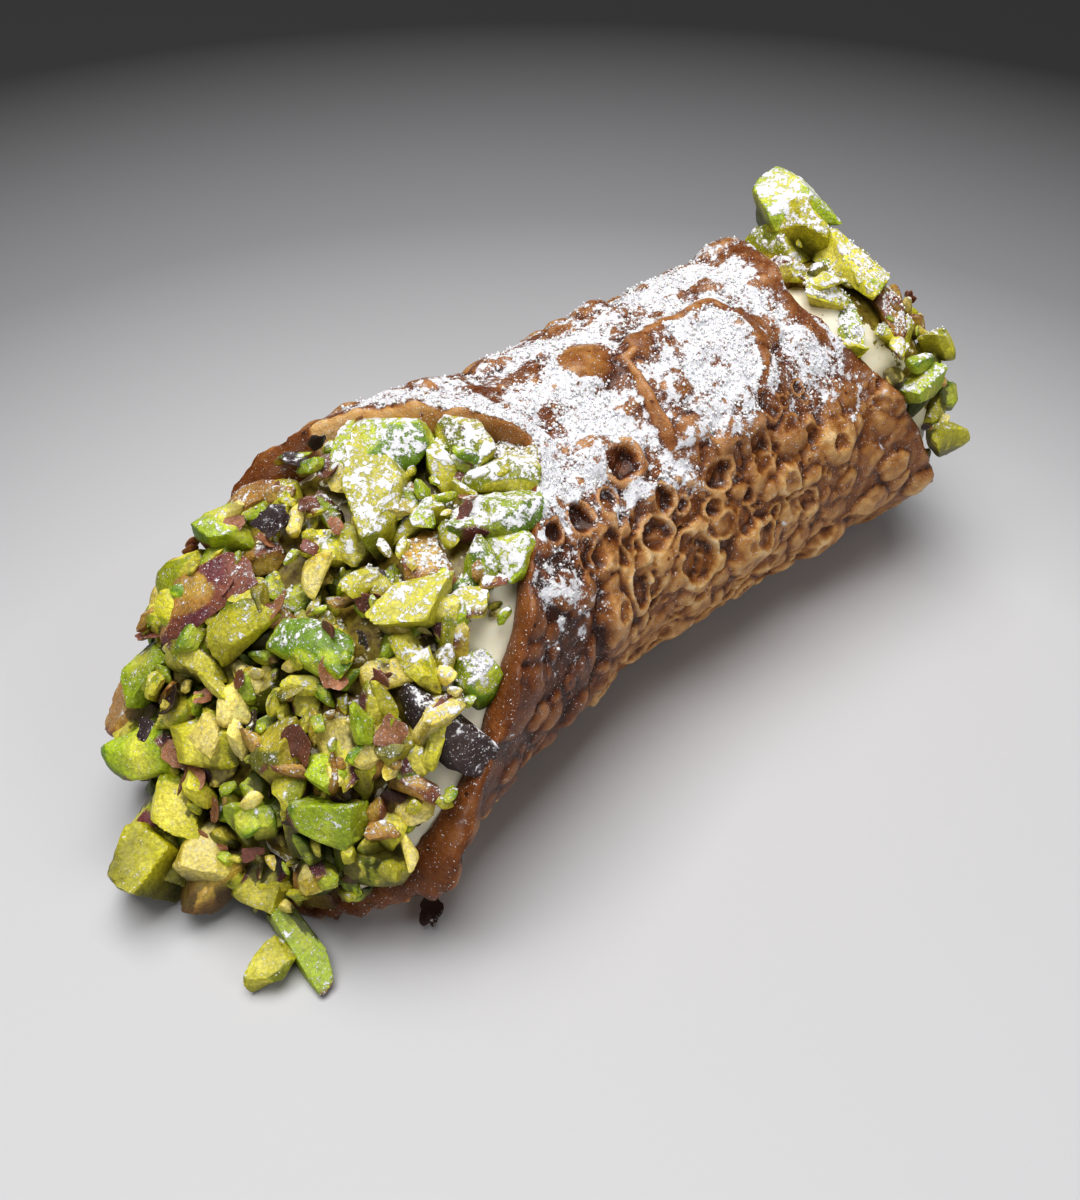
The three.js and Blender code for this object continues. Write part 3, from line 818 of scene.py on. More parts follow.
def lip_rows(mouth, edge, outer_over):
    """The rounded edge: half a turn from the outer wall to the inner one, swollen and a little uneven."""
    t = np.linspace(0, np.pi, LIP_ROWS + 2)[1:-1, None]
    middle = (outer_over - WALL) / 2
    half = (outer_over + WALL) / 2
    x = edge + mouth["side"] * (LIP_ROUND + LIP_SWELL) * np.sin(t)
    points = tube_point(x, angles, middle + half * np.cos(t))
    return tube_point(x, angles, middle + half * np.cos(t) * (1 + 0.35 * noise(points, 1.5, 28)))


outer = tube_point(outer_x, outer_angle, relief)
inner_share = np.linspace(1, 0, INNER_ROWS)[:, None]
inner_x = near_edge * (1 - inner_share) + far_edge * inner_share
inner_over = -WALL - 0.4 * smoothstep(0.0, 0.5, noise(tube_point(inner_x, angles, -WALL), 2.2, 27))
inner = tube_point(inner_x, angles, inner_over)
far_lip = lip_rows(FAR, far_edge, relief[-1])
near_lip = lip_rows(NEAR, near_edge, relief[0])[::-1]
dough_points = np.concatenate([outer, far_lip, inner, near_lip])
rest_rows = len(dough_points) - OUTER_ROWS
print("dough rows", len(dough_points))

# %% [markdown]
# The dough isn't one colour. The camera's lower side and the underside of the near lip are foam that
# fried pale, the bare band beside the near lip is dark and smooth, and the back is in between. The inner
# wall of the back lips is painted paler than the rest of the inside, which is painted light where the
# light falls on it.

# %% Pale and dark places, and the piece
LOW_SIDE_ANGLES = (128.0, 165.0, 250.0, 290.0)
NEAR_UNDERSIDE_ANGLES = (200.0, 222.0, 250.0, 290.0)
BARE_BAND_ANGLES = (110.0, 140.0, 205.0, 225.0)
BAND_DARKER = 0.34
BACK_PALE = 0.35
BACK_LIP_PAINTED_LIGHT = {"angle": 55.0, "spread": 50.0, "amount": 1.2}


def with_rest(field, value):
    """A field of the outer rows, then a value, or one for each angle, for the lips and the inside."""
    return np.concatenate([field.ravel(), np.tile(np.broadcast_to(value, angles.shape), rest_rows)])


low_side = between(outer_angle, *LOW_SIDE_ANGLES) * smoothstep(-14.0, -8.0, outer_x)
foam = low_side * (0.75 + 0.25 * noise(plain, 6.0, 31)) * (0.55 + 0.45 * blistered)
under_band = 0.8 * between(outer_angle, *NEAR_UNDERSIDE_ANGLES) * (outer_x < -10)
back = smoothstep(250.0, 290.0, outer_angle) + 1 - smoothstep(30.0, 70.0, outer_angle)
bare_top = 0.6 * smoothstep(0.3, 0.6, bare_blister)
pale = np.maximum.reduce([foam, under_band, bare_top, BACK_PALE * back])
band = between(outer_angle, *BARE_BAND_ANGLES) * (1 - smoothstep(-15.0, -9.0, outer_x))
# Painted light: the inner wall of the back lips is painted paler, through both stand_out and pale.
back_lip_painted_light = BACK_LIP_PAINTED_LIGHT["amount"] * bell(angles - BACK_LIP_PAINTED_LIGHT["angle"], BACK_LIP_PAINTED_LIGHT["spread"])
dough = make_piece(
    "dough",
    dough_points,
    [grid_faces(len(dough_points), len(angles), wrap=True)],
    dough_finish,
    {
        "stand_out": with_rest(stand_out * (1 - 0.4 * back) - BAND_DARKER * band, back_lip_painted_light - 0.32),
        "pale": with_rest(np.clip(pale, 0, 1), 0.25 + 0.5 * back_lip_painted_light),
        "sugar": with_rest(sugar, 0.08),
    },
)
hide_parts("pastry_shell")

# %% [markdown]
# The cream was piped in and bulges from both mouths. It is a smooth closed surface: a cap in each mouth,
# where every point of the edge runs to a middle that is pushed outwards, and a column between them.

# %% Where the cream lies
def cream_edge(mouth, angle):
    """The edge of the cream in a mouth: just inside the dough, and deeper where the back lip is bare."""
    bare = mouth["bare"] * np.maximum(np.cos(np.radians(angle - BARE_ANGLE)), 0) ** 3
    return tube_point(rim_x(mouth, angle) - mouth["side"] * bare, angle, -WALL + CREAM_PRESS)


def mouth_frame(mouth):
    """The middle of that edge, the way the mouth faces, and the push that makes the cream bulge."""
    edge = cream_edge(mouth, np.arange(0.0, 360.0))
    slope = cream_edge(mouth, np.array(SEAM)) - cream_edge(mouth, np.array(SEAM + 180))
    across = cream_edge(mouth, np.array(SEAM + 90)) - cream_edge(mouth, np.array(SEAM - 90))
    facing = np.cross(slope, across)
    facing *= np.sign(facing[0]) * mouth["side"] / np.linalg.norm(facing)
    return edge.mean(axis=0), facing, facing * mouth["bulge"] + np.array(mouth["lean"])


def cap_point(mouth, rho, angle):
    """A point on the bulge: from the middle to the edge by rho, plus the push times 1 - rho^p."""
    centre, _, push = mouth_frame(mouth)
    rho = np.asarray(rho, float)[..., None]
    return centre + (cream_edge(mouth, angle) - centre) * rho + push * (1 - rho**BULGE_POWER)


CREAM_COLUMNS = 180
CAP_ROWS = 44
COLUMN_ROWS = 14
cream_angles = np.linspace(0, 360, CREAM_COLUMNS, endpoint=False)
cap_shares = np.linspace(0, 1, CAP_ROWS + 1)[1:-1, None]
turns = np.broadcast_to(cream_angles, (CAP_ROWS - 1, CREAM_COLUMNS))
near_cap = cap_point(NEAR, np.broadcast_to(cap_shares, turns.shape), turns)
far_cap = cap_point(FAR, np.broadcast_to(cap_shares, turns.shape), turns)[::-1]
column_share = np.linspace(0, 1, COLUMN_ROWS)[:, None]
near_x, far_x = (cream_edge(mouth, cream_angles)[:, 0] for mouth in (NEAR, FAR))
column_x = near_x * (1 - column_share) + far_x * column_share
column = tube_point(column_x, cream_angles, -WALL + CREAM_PRESS)
cream_rows = np.concatenate([near_cap, column, far_cap])
cream_rows = cream_rows + 0.22 * noise(cream_rows, 6.0, 51)[..., None] * np.array([0.6, 0.3, 0.7])
poles = np.array([cap_point(NEAR, 0.0, 0.0), cap_point(FAR, 0.0, 0.0)])
print("cream rows", cream_rows.shape, "poles", poles.round(1).tolist())


# %% [markdown]
# The cream is off-white and moist. Under the nuts a dark chopped colour fades in from a ring inside the
# edge to the middle of each bulge: partly fine crumbs, partly painted shade between the nuts. The two
# middles are closed by fans.

# %% The cream's material and piece
def cream_material():
    """Off-white cream: soft, moist and slightly see-through, and darker under the nuts from crumbs and
    painted shade.
    """
    t = Tree("sweet_cream")
    clean = t.ramp(t.noise(3.0, 2.0), [(0.3, linear(238, 230, 205)), (0.7, linear(247, 241, 222))])
    chopped = t.ramp(t.noise(0.9, 3.0, 0.65), [(0.3, linear(84, 56, 24)), (0.7, linear(168, 152, 60))])
    uneven = t.math("MULTIPLY_ADD", t.noise(1.4, 3.0, 0.6), 2.4, -1.2)
    crumbs_and_shade = t.math("ADD", t.attribute("crumbs_and_shade"), uneven)
    colour = t.mix(t.remap(crumbs_and_shade, 0.4, 0.55), clean, chopped)
    soft = t.bump(t.noise(1.6, 2.0, 0.5), 0.15, 0.5)
    return t.finish(
        {
            "Base Color": colour,
            "Roughness": 0.38,
            "Normal": soft,
            "Subsurface Weight": 0.35,
            "Subsurface Radius": (1.0, 0.8, 0.5),
            "Subsurface Scale": 0.0015,
        }
    )


def fan(pole, first, flip):
    """Triangles from a pole to the ring whose first point is given; flip makes them face the other way."""
    c = np.arange(CREAM_COLUMNS)
    d = (c + 1) % CREAM_COLUMNS
    corners = np.stack([np.full(CREAM_COLUMNS, pole), first + d, first + c], -1)
    return corners[:, ::-1] if flip else corners


CRUMBS_AND_SHADE = 0.8
ring_count = len(cream_rows)
last_ring = (ring_count - 1) * CREAM_COLUMNS
near_pole = ring_count * CREAM_COLUMNS
# Crumbs and painted shade: the cream is darkened from a ring inside the edge to the middle of each bulge.
crumbs_and_shade_cap = CRUMBS_AND_SHADE * (1 - smoothstep(0.78, 0.93, cap_shares[:, 0]))
crumbs_and_shade_rings = np.concatenate([crumbs_and_shade_cap, np.zeros(COLUMN_ROWS), crumbs_and_shade_cap[::-1]])
cream = make_piece(
    "cream",
    np.concatenate([cream_rows.reshape(-1, 3), poles]),
    [grid_faces(ring_count, CREAM_COLUMNS), fan(near_pole, 0, True), fan(near_pole + 1, last_ring, False)],
    cream_material(),
    {"crumbs_and_shade": np.concatenate([np.repeat(crumbs_and_shade_rings, CREAM_COLUMNS), [CRUMBS_AND_SHADE, CRUMBS_AND_SHADE]])},
)
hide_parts("nut_topped_filling")

# %% [markdown]
# A chopped pistachio is a chunk of a rounded kernel: one curved side with green or purple skin, and flat
# cut faces of paler flesh. So each nut is worked out as what a few planes and one sphere leave between
# them, seen from its middle: in every direction, the surface is the nearest of those. All the nuts are
# worked out at once, as one array of nuts by directions by planes.

# %% The shape of a chopped nut
ROUNDING = 90.0
CORNER_CUTS = 6
SIDE_LEAN = 0.36
SIDE_REACH = (0.8, 1.0)
CUT_REACH = (0.62, 1.1)
SKIN_RADIUS = (1.4, 2.0)
SKIN_REACH = (0.84, 1.05)
CHIP_DEPTH = 0.3


def ball_directions(subdivisions):
    """The points and faces of an icosphere of radius 1."""
    ball = bmesh.new()
    bmesh.ops.create_icosphere(ball, subdivisions=subdivisions, radius=1.0)
    points = np.array([v.co[:] for v in ball.verts])
    faces = np.array([[v.index for v in f.verts] for f in ball.faces])
    ball.free()
    return points, faces


def unit(vectors):
    """Vectors scaled to length 1."""
    return vectors / np.linalg.norm(vectors, axis=-1, keepdims=True)


def nut_shapes(rng, count, directions):
    """Nuts within a box from -1 to 1, and how much of each point is skin (1) or cut flesh (0).

    Six planes lean off the box's sides, a few more cut its corners, and a sphere whose centre is pushed
    away from one side gives that side its curve. Distances are joined by a mean of power -90, which is
    close to the smallest of them but leaves the edges slightly rounded. A dent makes one side hollow."""
    axes = np.concatenate([np.eye(3), -np.eye(3)])
    sides = unit(axes + SIDE_LEAN * rng.normal(size=(count, 6, 3)))
    side_reach = rng.uniform(*SIDE_REACH, (count, 6))
    cuts = unit(rng.normal(size=(count, CORNER_CUTS, 3)))
    cut_reach = rng.uniform(*CUT_REACH, (count, CORNER_CUTS))
    normals = np.concatenate([sides, cuts], axis=1)
    reach = np.concatenate([side_reach, cut_reach], axis=1)
    toward = np.einsum("npk,dk->ndp", normals, directions)
    flat = reach[:, None, :] / np.maximum(toward, 1e-3)
    lean = unit(rng.normal(size=(count, 3)) * np.array([0.5, 0.9, 0.9]) + np.array([0, 0, 0.4]))
    radius = rng.uniform(*SKIN_RADIUS, (count, 1))
    centre = -lean * (radius - rng.uniform(*SKIN_REACH, (count, 1)))
    along = centre @ directions.T
    inside = radius**2 - (centre**2).sum(-1, keepdims=True)
    curved = along + np.sqrt(along**2 + inside)
    every = np.concatenate([flat, curved[:, :, None]], axis=2)
    joined = (every**-ROUNDING).sum(-1) ** (-1 / ROUNDING)
    skin = smoothstep(0.0, 0.05, flat.min(-1) - curved + 0.03)
    chip = unit(rng.normal(size=(count, 3))) @ directions.T
    joined = joined * (1 - rng.uniform(0.0, CHIP_DEPTH, (count, 1)) * smoothstep(0.72, 0.98, chip))
    return joined[..., None] * directions, skin


print("nut shapes", nut_shapes(np.random.default_rng(0), 3, ball_directions(2)[0])[0].shape)

# %% [markdown]
# The nuts that show most are placed one by one where the photograph has them, and the rest follow the
# rule of the solid, so that the crust keeps its form: spread over the bulge by the golden angle, with
# repeatable jitter, and piled up on the side they slid to.

# %% The nuts of the solid
NUTS_NEAR = 72
NUTS_FAR = 38
NUT_LENGTH = (2.1, 3.8)
NUT_ASPECT = (0.68, 0.55)
NUT_LIFT = 0.15
NUT_PILE = 2.4
PILE_ANGLE = -25.0
GOLDEN_ANGLE = math.pi * (3 - math.sqrt(5))
SLIMMER = np.array([0.95, 0.78, 0.72])

# Share of the way to the rim, angle, turn on the cream, height over it, half length, width and
# thickness, and the kind of nut: g green, y yellow-green, p pale, o olive, k deep yellow, s skin, d dark
NEAR_NUTS = [
    (0.8, 74, 5, 2.2, 4.9, 3.8, 2.6, "g"),
    (0.57, 90, 90, 2.5, 3.8, 2.9, 2.6, "y"),
    (0.86, 92, 130, 1.9, 4.3, 2.3, 2.2, "y"),
    (0.91, 116, 95, 1.5, 4.6, 2.1, 1.9, "y"),
    (0.93, 128, 120, 1.8, 3.2, 2.2, 1.9, "g"),
    (0.96, 136, 45, 1.5, 2.5, 2.0, 1.8, "g"),
    (0.7, 146, 115, 2.3, 3.7, 2.3, 1.9, "y"),
    (0.5, 16, 145, 2.6, 4.5, 2.6, 1.2, "s"),
    (0.24, 160, 80, 2.0, 4.7, 2.3, 2.0, "g"),
    (0.9, 176, 60, 1.6, 4.4, 2.4, 1.5, "d"),
    (0.75, 218, 135, 2.0, 3.4, 2.5, 2.1, "g"),
    (0.93, 216, 130, 1.6, 4.0, 2.1, 1.9, "y"),
    (0.45, 340, 65, 2.0, 3.4, 2.5, 2.1, "y"),
    (0.51, 292, 35, 2.0, 3.0, 2.3, 2.1, "y"),
    (0.45, 230, 30, 2.0, 3.2, 2.5, 2.1, "o"),
    (0.74, 162, 45, 2.0, 3.3, 1.4, 1.4, "y"),
    (0.26, 6, 165, 2.2, 3.1, 2.4, 2.0, "y"),
]
FAR_NUTS = [
    (0.62, 100, 170, 1.5, 5.4, 3.1, 2.2, "y"),
    (0.53, 344, 115, 2.0, 2.9, 1.5, 1.0, "s"),
    (0.22, 276, 15, 1.8, 3.1, 2.8, 2.0, "s"),
    (0.6, 172, 40, 2.2, 2.6, 2.2, 1.9, "y"),
    (0.7, 205, 15, 2.0, 2.8, 2.1, 1.9, "g"),
    (0.92, 190, 30, 2.2, 3.2, 2.1, 1.9, "y"),
    (0.9, 160, 60, 2.0, 3.0, 2.1, 2.0, "g"),
    (0.85, 60, 20, 2.0, 4.2, 3.6, 3.0, "y"),
]
# Place, half length, width and thickness, then heading, pitch and roll in degrees, and the kind
SINGLE_NUTS = [
    (39.9, 0.6, 38.0, 3.4, 2.3, 3.9, 124, 0, 8, "k"),
    (41.4, 4.6, 39.0, 4.5, 3.6, 4.0, 60, 14, 0, "g"),
    (-35.0, 11.0, 29.4, 3.1, 2.6, 3.0, 110, 0, 0, "g"),
    (-38.8, 11.6, 25.6, 3.2, 2.6, 2.8, 150, 20, 0, "y"),
    (-42.4, 12.0, 21.2, 3.4, 2.6, 2.8, 60, 20, 0, "y"),
    (-45.6, 10.6, 18.0, 3.4, 2.8, 2.8, 150, 20, 0, "g"),
    (-47.2, 11.6, 13.2, 3.6, 2.8, 2.8, 60, 20, 0, "s"),
    (-49.9, 10.2, 11.2, 3.2, 2.6, 2.8, 20, 40, 0, "y"),
    (-48.8, 11.2, 6.8, 3.4, 2.8, 2.8, 80, 0, 20, "o"),
    (-50.6, 6.4, 12.6, 3.6, 2.8, 2.8, 120, 20, 0, "g"),
    (-50.8, 1.4, 9.8, 3.6, 2.9, 2.8, 40, 10, 0, "y"),
    (-50.6, -2.9, 6.0, 4.3, 3.2, 3.2, 20, 10, 0, "p"),
    (-52.2, -5.4, 5.4, 4.9, 2.0, 1.4, -15, -27, 0, "s"),
    (-50.2, 4.4, 5.8, 4.6, 3.2, 3.4, 10, 0, 0, "y"),
    (-53.0, 0.8, 4.4, 3.4, 3.0, 2.8, 80, 0, 0, "y"),
    (-56.3, 1.1, 4.3, 3.7, 3.5, 4.3, 12, 6, 4, "k"),
    (-48.4, -8.6, 4.4, 3.8, 2.8, 2.8, 20, 0, 0, "y"),
    (-49.3, -12.9, 2.2, 4.8, 1.5, 1.5, -94, 11, 0, "g"),
    (-52.8, -15.0, 1.6, 2.8, 1.8, 1.5, 12, 0, 0, "y"),
]


def turn_about(axis, degrees):
    """Rotation matrices about X, Y or Z (0, 1 or 2) by arrays of degrees."""
    t = np.radians(np.atleast_1d(np.asarray(degrees, float)))
    c, s = np.cos(t), np.sin(t)
    i, j = (axis + 1) % 3, (axis + 2) % 3
    out = np.zeros((len(t), 3, 3))
    out[:, axis, axis] = 1
    out[:, i, i] = out[:, j, j] = c
    out[:, j, i] = s
    out[:, i, j] = -s
    return out


def cap_axes(mouth, rho, angle):
    """The cream's own axes, as columns: round the mouth, outwards over the cream, and up off it."""
    step = 0.02
    inner_rho = np.maximum(rho - step, step)
    outward = cap_point(mouth, inner_rho + 2 * step, angle) - cap_point(mouth, inner_rho, angle)
    around = unit(cap_point(mouth, rho, angle + 2) - cap_point(mouth, rho, angle - 2))
    up = unit(np.cross(outward, around))
    facing = mouth_frame(mouth)[1]
    up = up * np.where(up @ facing < 0, -1.0, 1.0)[:, None]
    return np.stack([around, np.cross(up, around), up], axis=-1)


def on_cream(mouth, rho, angle, spin, lift):
    """Places and turns for nuts that lie on the cream."""
    axes = cap_axes(mouth, rho, angle)
    places = cap_point(mouth, rho, angle) + axes[:, :, 2] * np.asarray(lift)[:, None]
    return places, axes @ turn_about(2, spin)


def scattered(mouth, count, seed):
    """The even layer: rho grows by a square root, angles by the golden angle, both jittered."""
    i = np.arange(count)
    n = seed + i
    rho = 0.98 * np.sqrt((i + 0.5) / count) + 0.05 * (draw(n, 1) - 0.5)
    angle = np.degrees(i * GOLDEN_ANGLE) + 16 * (draw(n, 2) - 0.5)
    length = NUT_LENGTH[0] + (NUT_LENGTH[1] - NUT_LENGTH[0]) * draw(n, 3) ** 1.5
    width = length * NUT_ASPECT[0] * (0.8 + 0.5 * draw(n, 4))
    thick = length * NUT_ASPECT[1] * (0.8 + 0.5 * draw(n, 5))
    pile = NUT_PILE * draw(n, 9) * rho * np.maximum(np.cos(np.radians(angle - PILE_ANGLE)), 0)
    places, axes = on_cream(mouth, rho, angle, 360 * draw(n, 8), length * NUT_LIFT + pile)
    roll, pitch = (np.degrees(0.8 * (draw(n, k) - 0.5)) for k in (6, 7))
    lean = turn_about(0, roll) @ turn_about(1, pitch)
    return places, axes @ lean, np.stack([length, width, thick], -1) * SLIMMER


def placed(mouth, rows):
    """The nuts placed one by one on the cream."""
    numbers = np.array([row[:7] for row in rows], float)
    places, axes = on_cream(mouth, numbers[:, 0], numbers[:, 1], numbers[:, 2], numbers[:, 3])
    return places, axes, numbers[:, 4:7]


def single(rows):
    """The nuts placed in space: heading about Z, then pitch about Y, then roll about X."""
    numbers = np.array([row[:9] for row in rows], float)
    turned = turn_about(2, numbers[:, 6]) @ turn_about(1, numbers[:, 7]) @ turn_about(0, numbers[:, 8])
    return numbers[:, :3], turned, numbers[:, 3:6]


# %% [markdown]
# Between the large nuts lie smaller ones and crumbs, which the solid leaves out. They come from a seeded
# random draw over the same bulges. Kinds are drawn too: mostly green and yellow-green, some pale or
# olive, and some that keep their brown or purple skin.

# %% Smaller nuts and kinds
KINDS = ["g", "y", "p", "o", "s"]
KIND_SHARES = [0.32, 0.33, 0.15, 0.06, 0.14]
EXTRA_WIDTH = (0.42, 0.8)
EXTRA_THICKNESS = (0.28, 0.62)
EXTRA_LEAN = (-50, 50)


def extra(rng, mouth, count, sizes, lifts, reach=(0.0, 0.98), turns=(0, 360)):
    """Loose smaller nuts over the bulge, with any turn, between two sizes, two heights and two shares."""
    rho = np.sqrt(rng.uniform(reach[0] ** 2, reach[1] ** 2, count))
    angle = rng.uniform(*turns, count)
    length = rng.uniform(*sizes, count)
    width = rng.uniform(*EXTRA_WIDTH, count)
    thickness = rng.uniform(*EXTRA_THICKNESS, count)
    half = length[:, None] * np.stack([np.ones(count), width, thickness], -1)
    places, axes = on_cream(mouth, rho, angle, rng.uniform(0, 360, count), rng.uniform(*lifts, count))
    lean = turn_about(0, rng.uniform(*EXTRA_LEAN, count)) @ turn_about(1, rng.uniform(*EXTRA_LEAN, count))
    return places, axes @ lean, half


NUT_SEED = 77
nut_rng = np.random.default_rng(NUT_SEED)
picked_groups = [
    (placed(NEAR, NEAR_NUTS), [row[7] for row in NEAR_NUTS]),
    (single(SINGLE_NUTS), [row[9] for row in SINGLE_NUTS]),
]
large_groups = [
    (placed(FAR, FAR_NUTS), [row[7] for row in FAR_NUTS]),
    (scattered(NEAR, NUTS_NEAR, 1), None),
    (scattered(FAR, NUTS_FAR, 301), None),
]
# How many extra nuts, their half lengths and heights over the cream, then, where they aren't spread all
# over, their shares of the way to the rim and their angles
small_groups = [
    (extra(nut_rng, NEAR, 120, (1.3, 2.4), (1.4, 3.4)), None),
    (extra(nut_rng, NEAR, 44, (1.6, 2.7), (1.0, 2.0), (0.62, 0.93), (135, 262)), None),
    (extra(nut_rng, FAR, 40, (1.3, 2.3), (1.0, 2.8)), None),
]
crumb_groups = [
    (extra(nut_rng, NEAR, 260, (0.5, 1.3), (0.6, 3.2)), None),
    (extra(nut_rng, FAR, 90, (0.5, 1.2), (0.4, 2.6)), None),
]

# %% [markdown]
# Every nut is worked out in the same way, but large ones get more points than crumbs. So the nuts are
# made in lots: each lot is one array of nuts by points, made on one ball of directions.

# %% Working out a lot of nuts
WALL_CLEARANCE = 0.1
RIM_CLEARANCE = 0.3
FLOOR_CLEARANCE = 0.05


def keep_inside(points):
    """Pulls points that would pass through the dough's wall back to its inside, and lifts all to z > 0."""
    x, y, z = np.moveaxis(points, -1, 0)
    dy = y + BOW * (x / BOW_SPAN) ** 2
    dz = z - (plain_radius(x) - FLAT_DEPTH)
    angle = np.degrees(np.arctan2(dz, dy)) % 360
    radius = np.hypot(dy, dz)
    limit = plain_radius(x) - waist(x, angle) - WALL - WALL_CLEARANCE
    behind = (x > rim_x(NEAR, angle) + RIM_CLEARANCE) & (x < rim_x(FAR, angle) - RIM_CLEARANCE)
    shrink = np.where(behind & (radius > limit), limit / np.maximum(radius, 1e-6), 1.0)
    return np.stack([x, y + dy * (shrink - 1), np.maximum(z + dz * (shrink - 1), FLOOR_CLEARANCE)], -1)


def make_lot(rng, groups, subdivisions):
    """Places, kinds and points of a lot: shapes times half sizes, turned, moved, and a little rough."""
    directions, faces = ball_directions(subdivisions)
    places, turned, halves = (np.concatenate([group[0][part] for group in groups]) for part in range(3))
    kinds = [group[1] or list(rng.choice(KINDS, len(group[0][0]), p=KIND_SHARES)) for group in groups]
    shapes, skin = nut_shapes(rng, len(places), directions)
    centre = places[:, None, :]
    world = np.einsum("nij,ndj->ndi", turned, shapes * halves[:, None, :]) + centre
    rough = 1 + 0.04 * noise(world, 1.8, 61) + 0.03 * noise(world, 0.7, 62)
    depth = 1 - smoothstep(0.6, 1.15, np.linalg.norm(shapes, axis=-1))
    points = keep_inside(centre + (world - centre) * rough[..., None])
    lot = {"points": points, "faces": faces, "kinds": np.concatenate(kinds), "skin": skin, "depth": depth}
    print("lot of", len(places), "nuts with", len(faces), "triangles each")
    return lot


picked = make_lot(nut_rng, picked_groups, 5)
large = make_lot(nut_rng, large_groups, 4)
small = make_lot(nut_rng, small_groups, 3)
crumbs = make_lot(nut_rng, crumb_groups, 2)

# %% [markdown]
# Sugar on the nuts also fell from above, so a nut under another stays clean. A height map of the crust,
# the highest point in every half millimetre, tells which points see the sky. Each also needs to face up,
# and more fell towards the top of each mouth.

# %% Sugar on the nuts
FELL_ON_NUTS = [
    (-56, 0.12),
    (-46, 0.18),
    (-36, 0.28),
    (-27, 0.42),
    (-16, 0.56),
    (30, 0.56),
    (46, 0.44),
    (52, 0.3),
    (58, 0.12),
]
FALL_SLANT = 0.35
MAP_CELL = 0.5
map_low = large["points"].reshape(-1, 3)[:, :2].min(axis=0) - 2


def point_normals(points, faces):
    """Smooth normals of many copies of one mesh: the sum of the normals of the faces round each point."""
    corners = points[:, faces]
    face_normals = np.cross(corners[:, :, 1] - corners[:, :, 0], corners[:, :, 2] - corners[:, :, 0])
    out = np.zeros_like(points)
    for corner in range(3):
        np.add.at(out, (slice(None), faces[:, corner]), face_normals)
    return unit(out + 1e-12)


def sky_map(points):
    """The highest z in each cell of a grid over X and Y."""
    cells = ((points[:, :2] - map_low) / MAP_CELL).astype(int)
    top = np.full(cells.max(axis=0) + 2, -1e3)
    np.maximum.at(top, (cells[:, 0], cells[:, 1]), points[:, 2])
    return top


def covered_by(points, top):
    """How far each point lies under the highest one in its cell, in mm."""
    cells = ((points[..., :2] - map_low) / MAP_CELL).astype(int)
    cells = np.clip(cells, 0, np.array(top.shape) - 1)
    return top[cells[..., 0], cells[..., 1]] - points[..., 2]


def fell_on(lot, top):
    """How much sugar lies at each point: facing up, in sight of the sky, and where most of it fell."""
    points = lot["points"]
    facing = point_normals(points, lot["faces"])[..., 2]
    seen = 1 - smoothstep(0.8, 2.2, covered_by(points, top))
    fell = along_tube(points[..., 0] - FALL_SLANT * points[..., 1], FELL_ON_NUTS)
    fell = fell + 0.1 * noise(points, 4.0, 71)
    return np.clip(smoothstep(0.05, 0.8, facing) * seen * fell, 0, 1)


sky = sky_map(np.concatenate([lot["points"].reshape(-1, 3) for lot in (picked, large, small)]))
for lot in (picked, large, small, crumbs):
    lot["sugar"] = fell_on(lot, sky)
    print("sugar on nuts, mean", float(lot["sugar"].mean().round(3)))

# %% [markdown]
# Colour differs from nut to nut and inside each one. The curved side keeps a thin skin, deep green on
# most and purple-brown on some, and the cut faces show flesh that is greenest near the skin and yellow
# at the heart. So each point mixes three colours of its nut's kind by skin and by depth. Points that lie
# under other nuts are then darkened, which is painted shade.

# %% Colours of the nuts
KIND_COLOURS = {
    "g": ((104, 134, 14), (158, 178, 30), (206, 204, 74)),
    "y": ((144, 150, 14), (200, 194, 46), (232, 220, 100)),
    "p": ((190, 168, 54), (230, 212, 108), (246, 230, 152)),
    "o": ((104, 104, 18), (156, 146, 36), (188, 172, 70)),
    "k": ((132, 142, 10), (180, 174, 24), (200, 188, 50)),
    "s": ((128, 72, 50), (166, 122, 54), (204, 174, 78)),
    "d": ((40, 26, 28), (50, 34, 34), (66, 48, 42)),
}
PURPLE_SKIN = linear(108, 52, 56)
PURPLE_SHARE = 0.3
PAINTED_SHADE_UNDER_NUTS = 0.78


def tint_nuts(rng, lot):
    """Colours of all points: flesh from green to yellow by depth, skin over the curved side, then painted
    shade under other nuts.
    """
    points, skin, depth, kinds = lot["points"], lot["skin"], lot["depth"], lot["kinds"]
    count = len(kinds)
    table = np.array([[linear(*c) for c in KIND_COLOURS[k]] for k in kinds])
    shade = rng.uniform(0.72, 1.1, (count, 1, 1))
    depth = np.clip(depth + 0.3 * noise(points, 1.6, 84), 0, 1)[..., None]
    flesh = table[:, None, 1] * (1 - depth) + table[:, None, 2] * depth
    colour = flesh * (1 - skin[..., None]) + table[:, None, 0] * skin[..., None]
    purple = (rng.random(count) < PURPLE_SHARE)[:, None] * skin
    purple = purple * smoothstep(-0.1, 0.3, noise(points, 1.8, 81))
    colour = colour * (1 - purple[..., None]) + np.array(PURPLE_SKIN) * purple[..., None]
    blotch = 1 + 0.16 * noise(points, 1.4, 82) + 0.1 * noise(points, 0.5, 83)
    # Painted shade: points that lie deep under other nuts are darkened.
    painted_shade = 1 - PAINTED_SHADE_UNDER_NUTS * smoothstep(0.5, 3.6, covered_by(points, sky))
    colour = colour * shade * (blotch * painted_shade)[..., None]
    colour[..., 3] = 1.0
    return np.clip(colour, 0, 1)


for lot in (picked, large, small, crumbs):
    lot["tint"] = tint_nuts(nut_rng, lot)
    print("tints", lot["tint"].shape)

# %% [markdown]
# Chopped flesh is fibrous and a little oily, so fine noise lightens it in streaks and roughens it. The
# colours come from the points, and sugar covers them in smaller islands than on the dough.

# %% The nuts' material
NUT_ROUGHNESS = 0.46
SUGAR_ROUGHNESS = 0.9
NUT_ISLANDS = 0.7


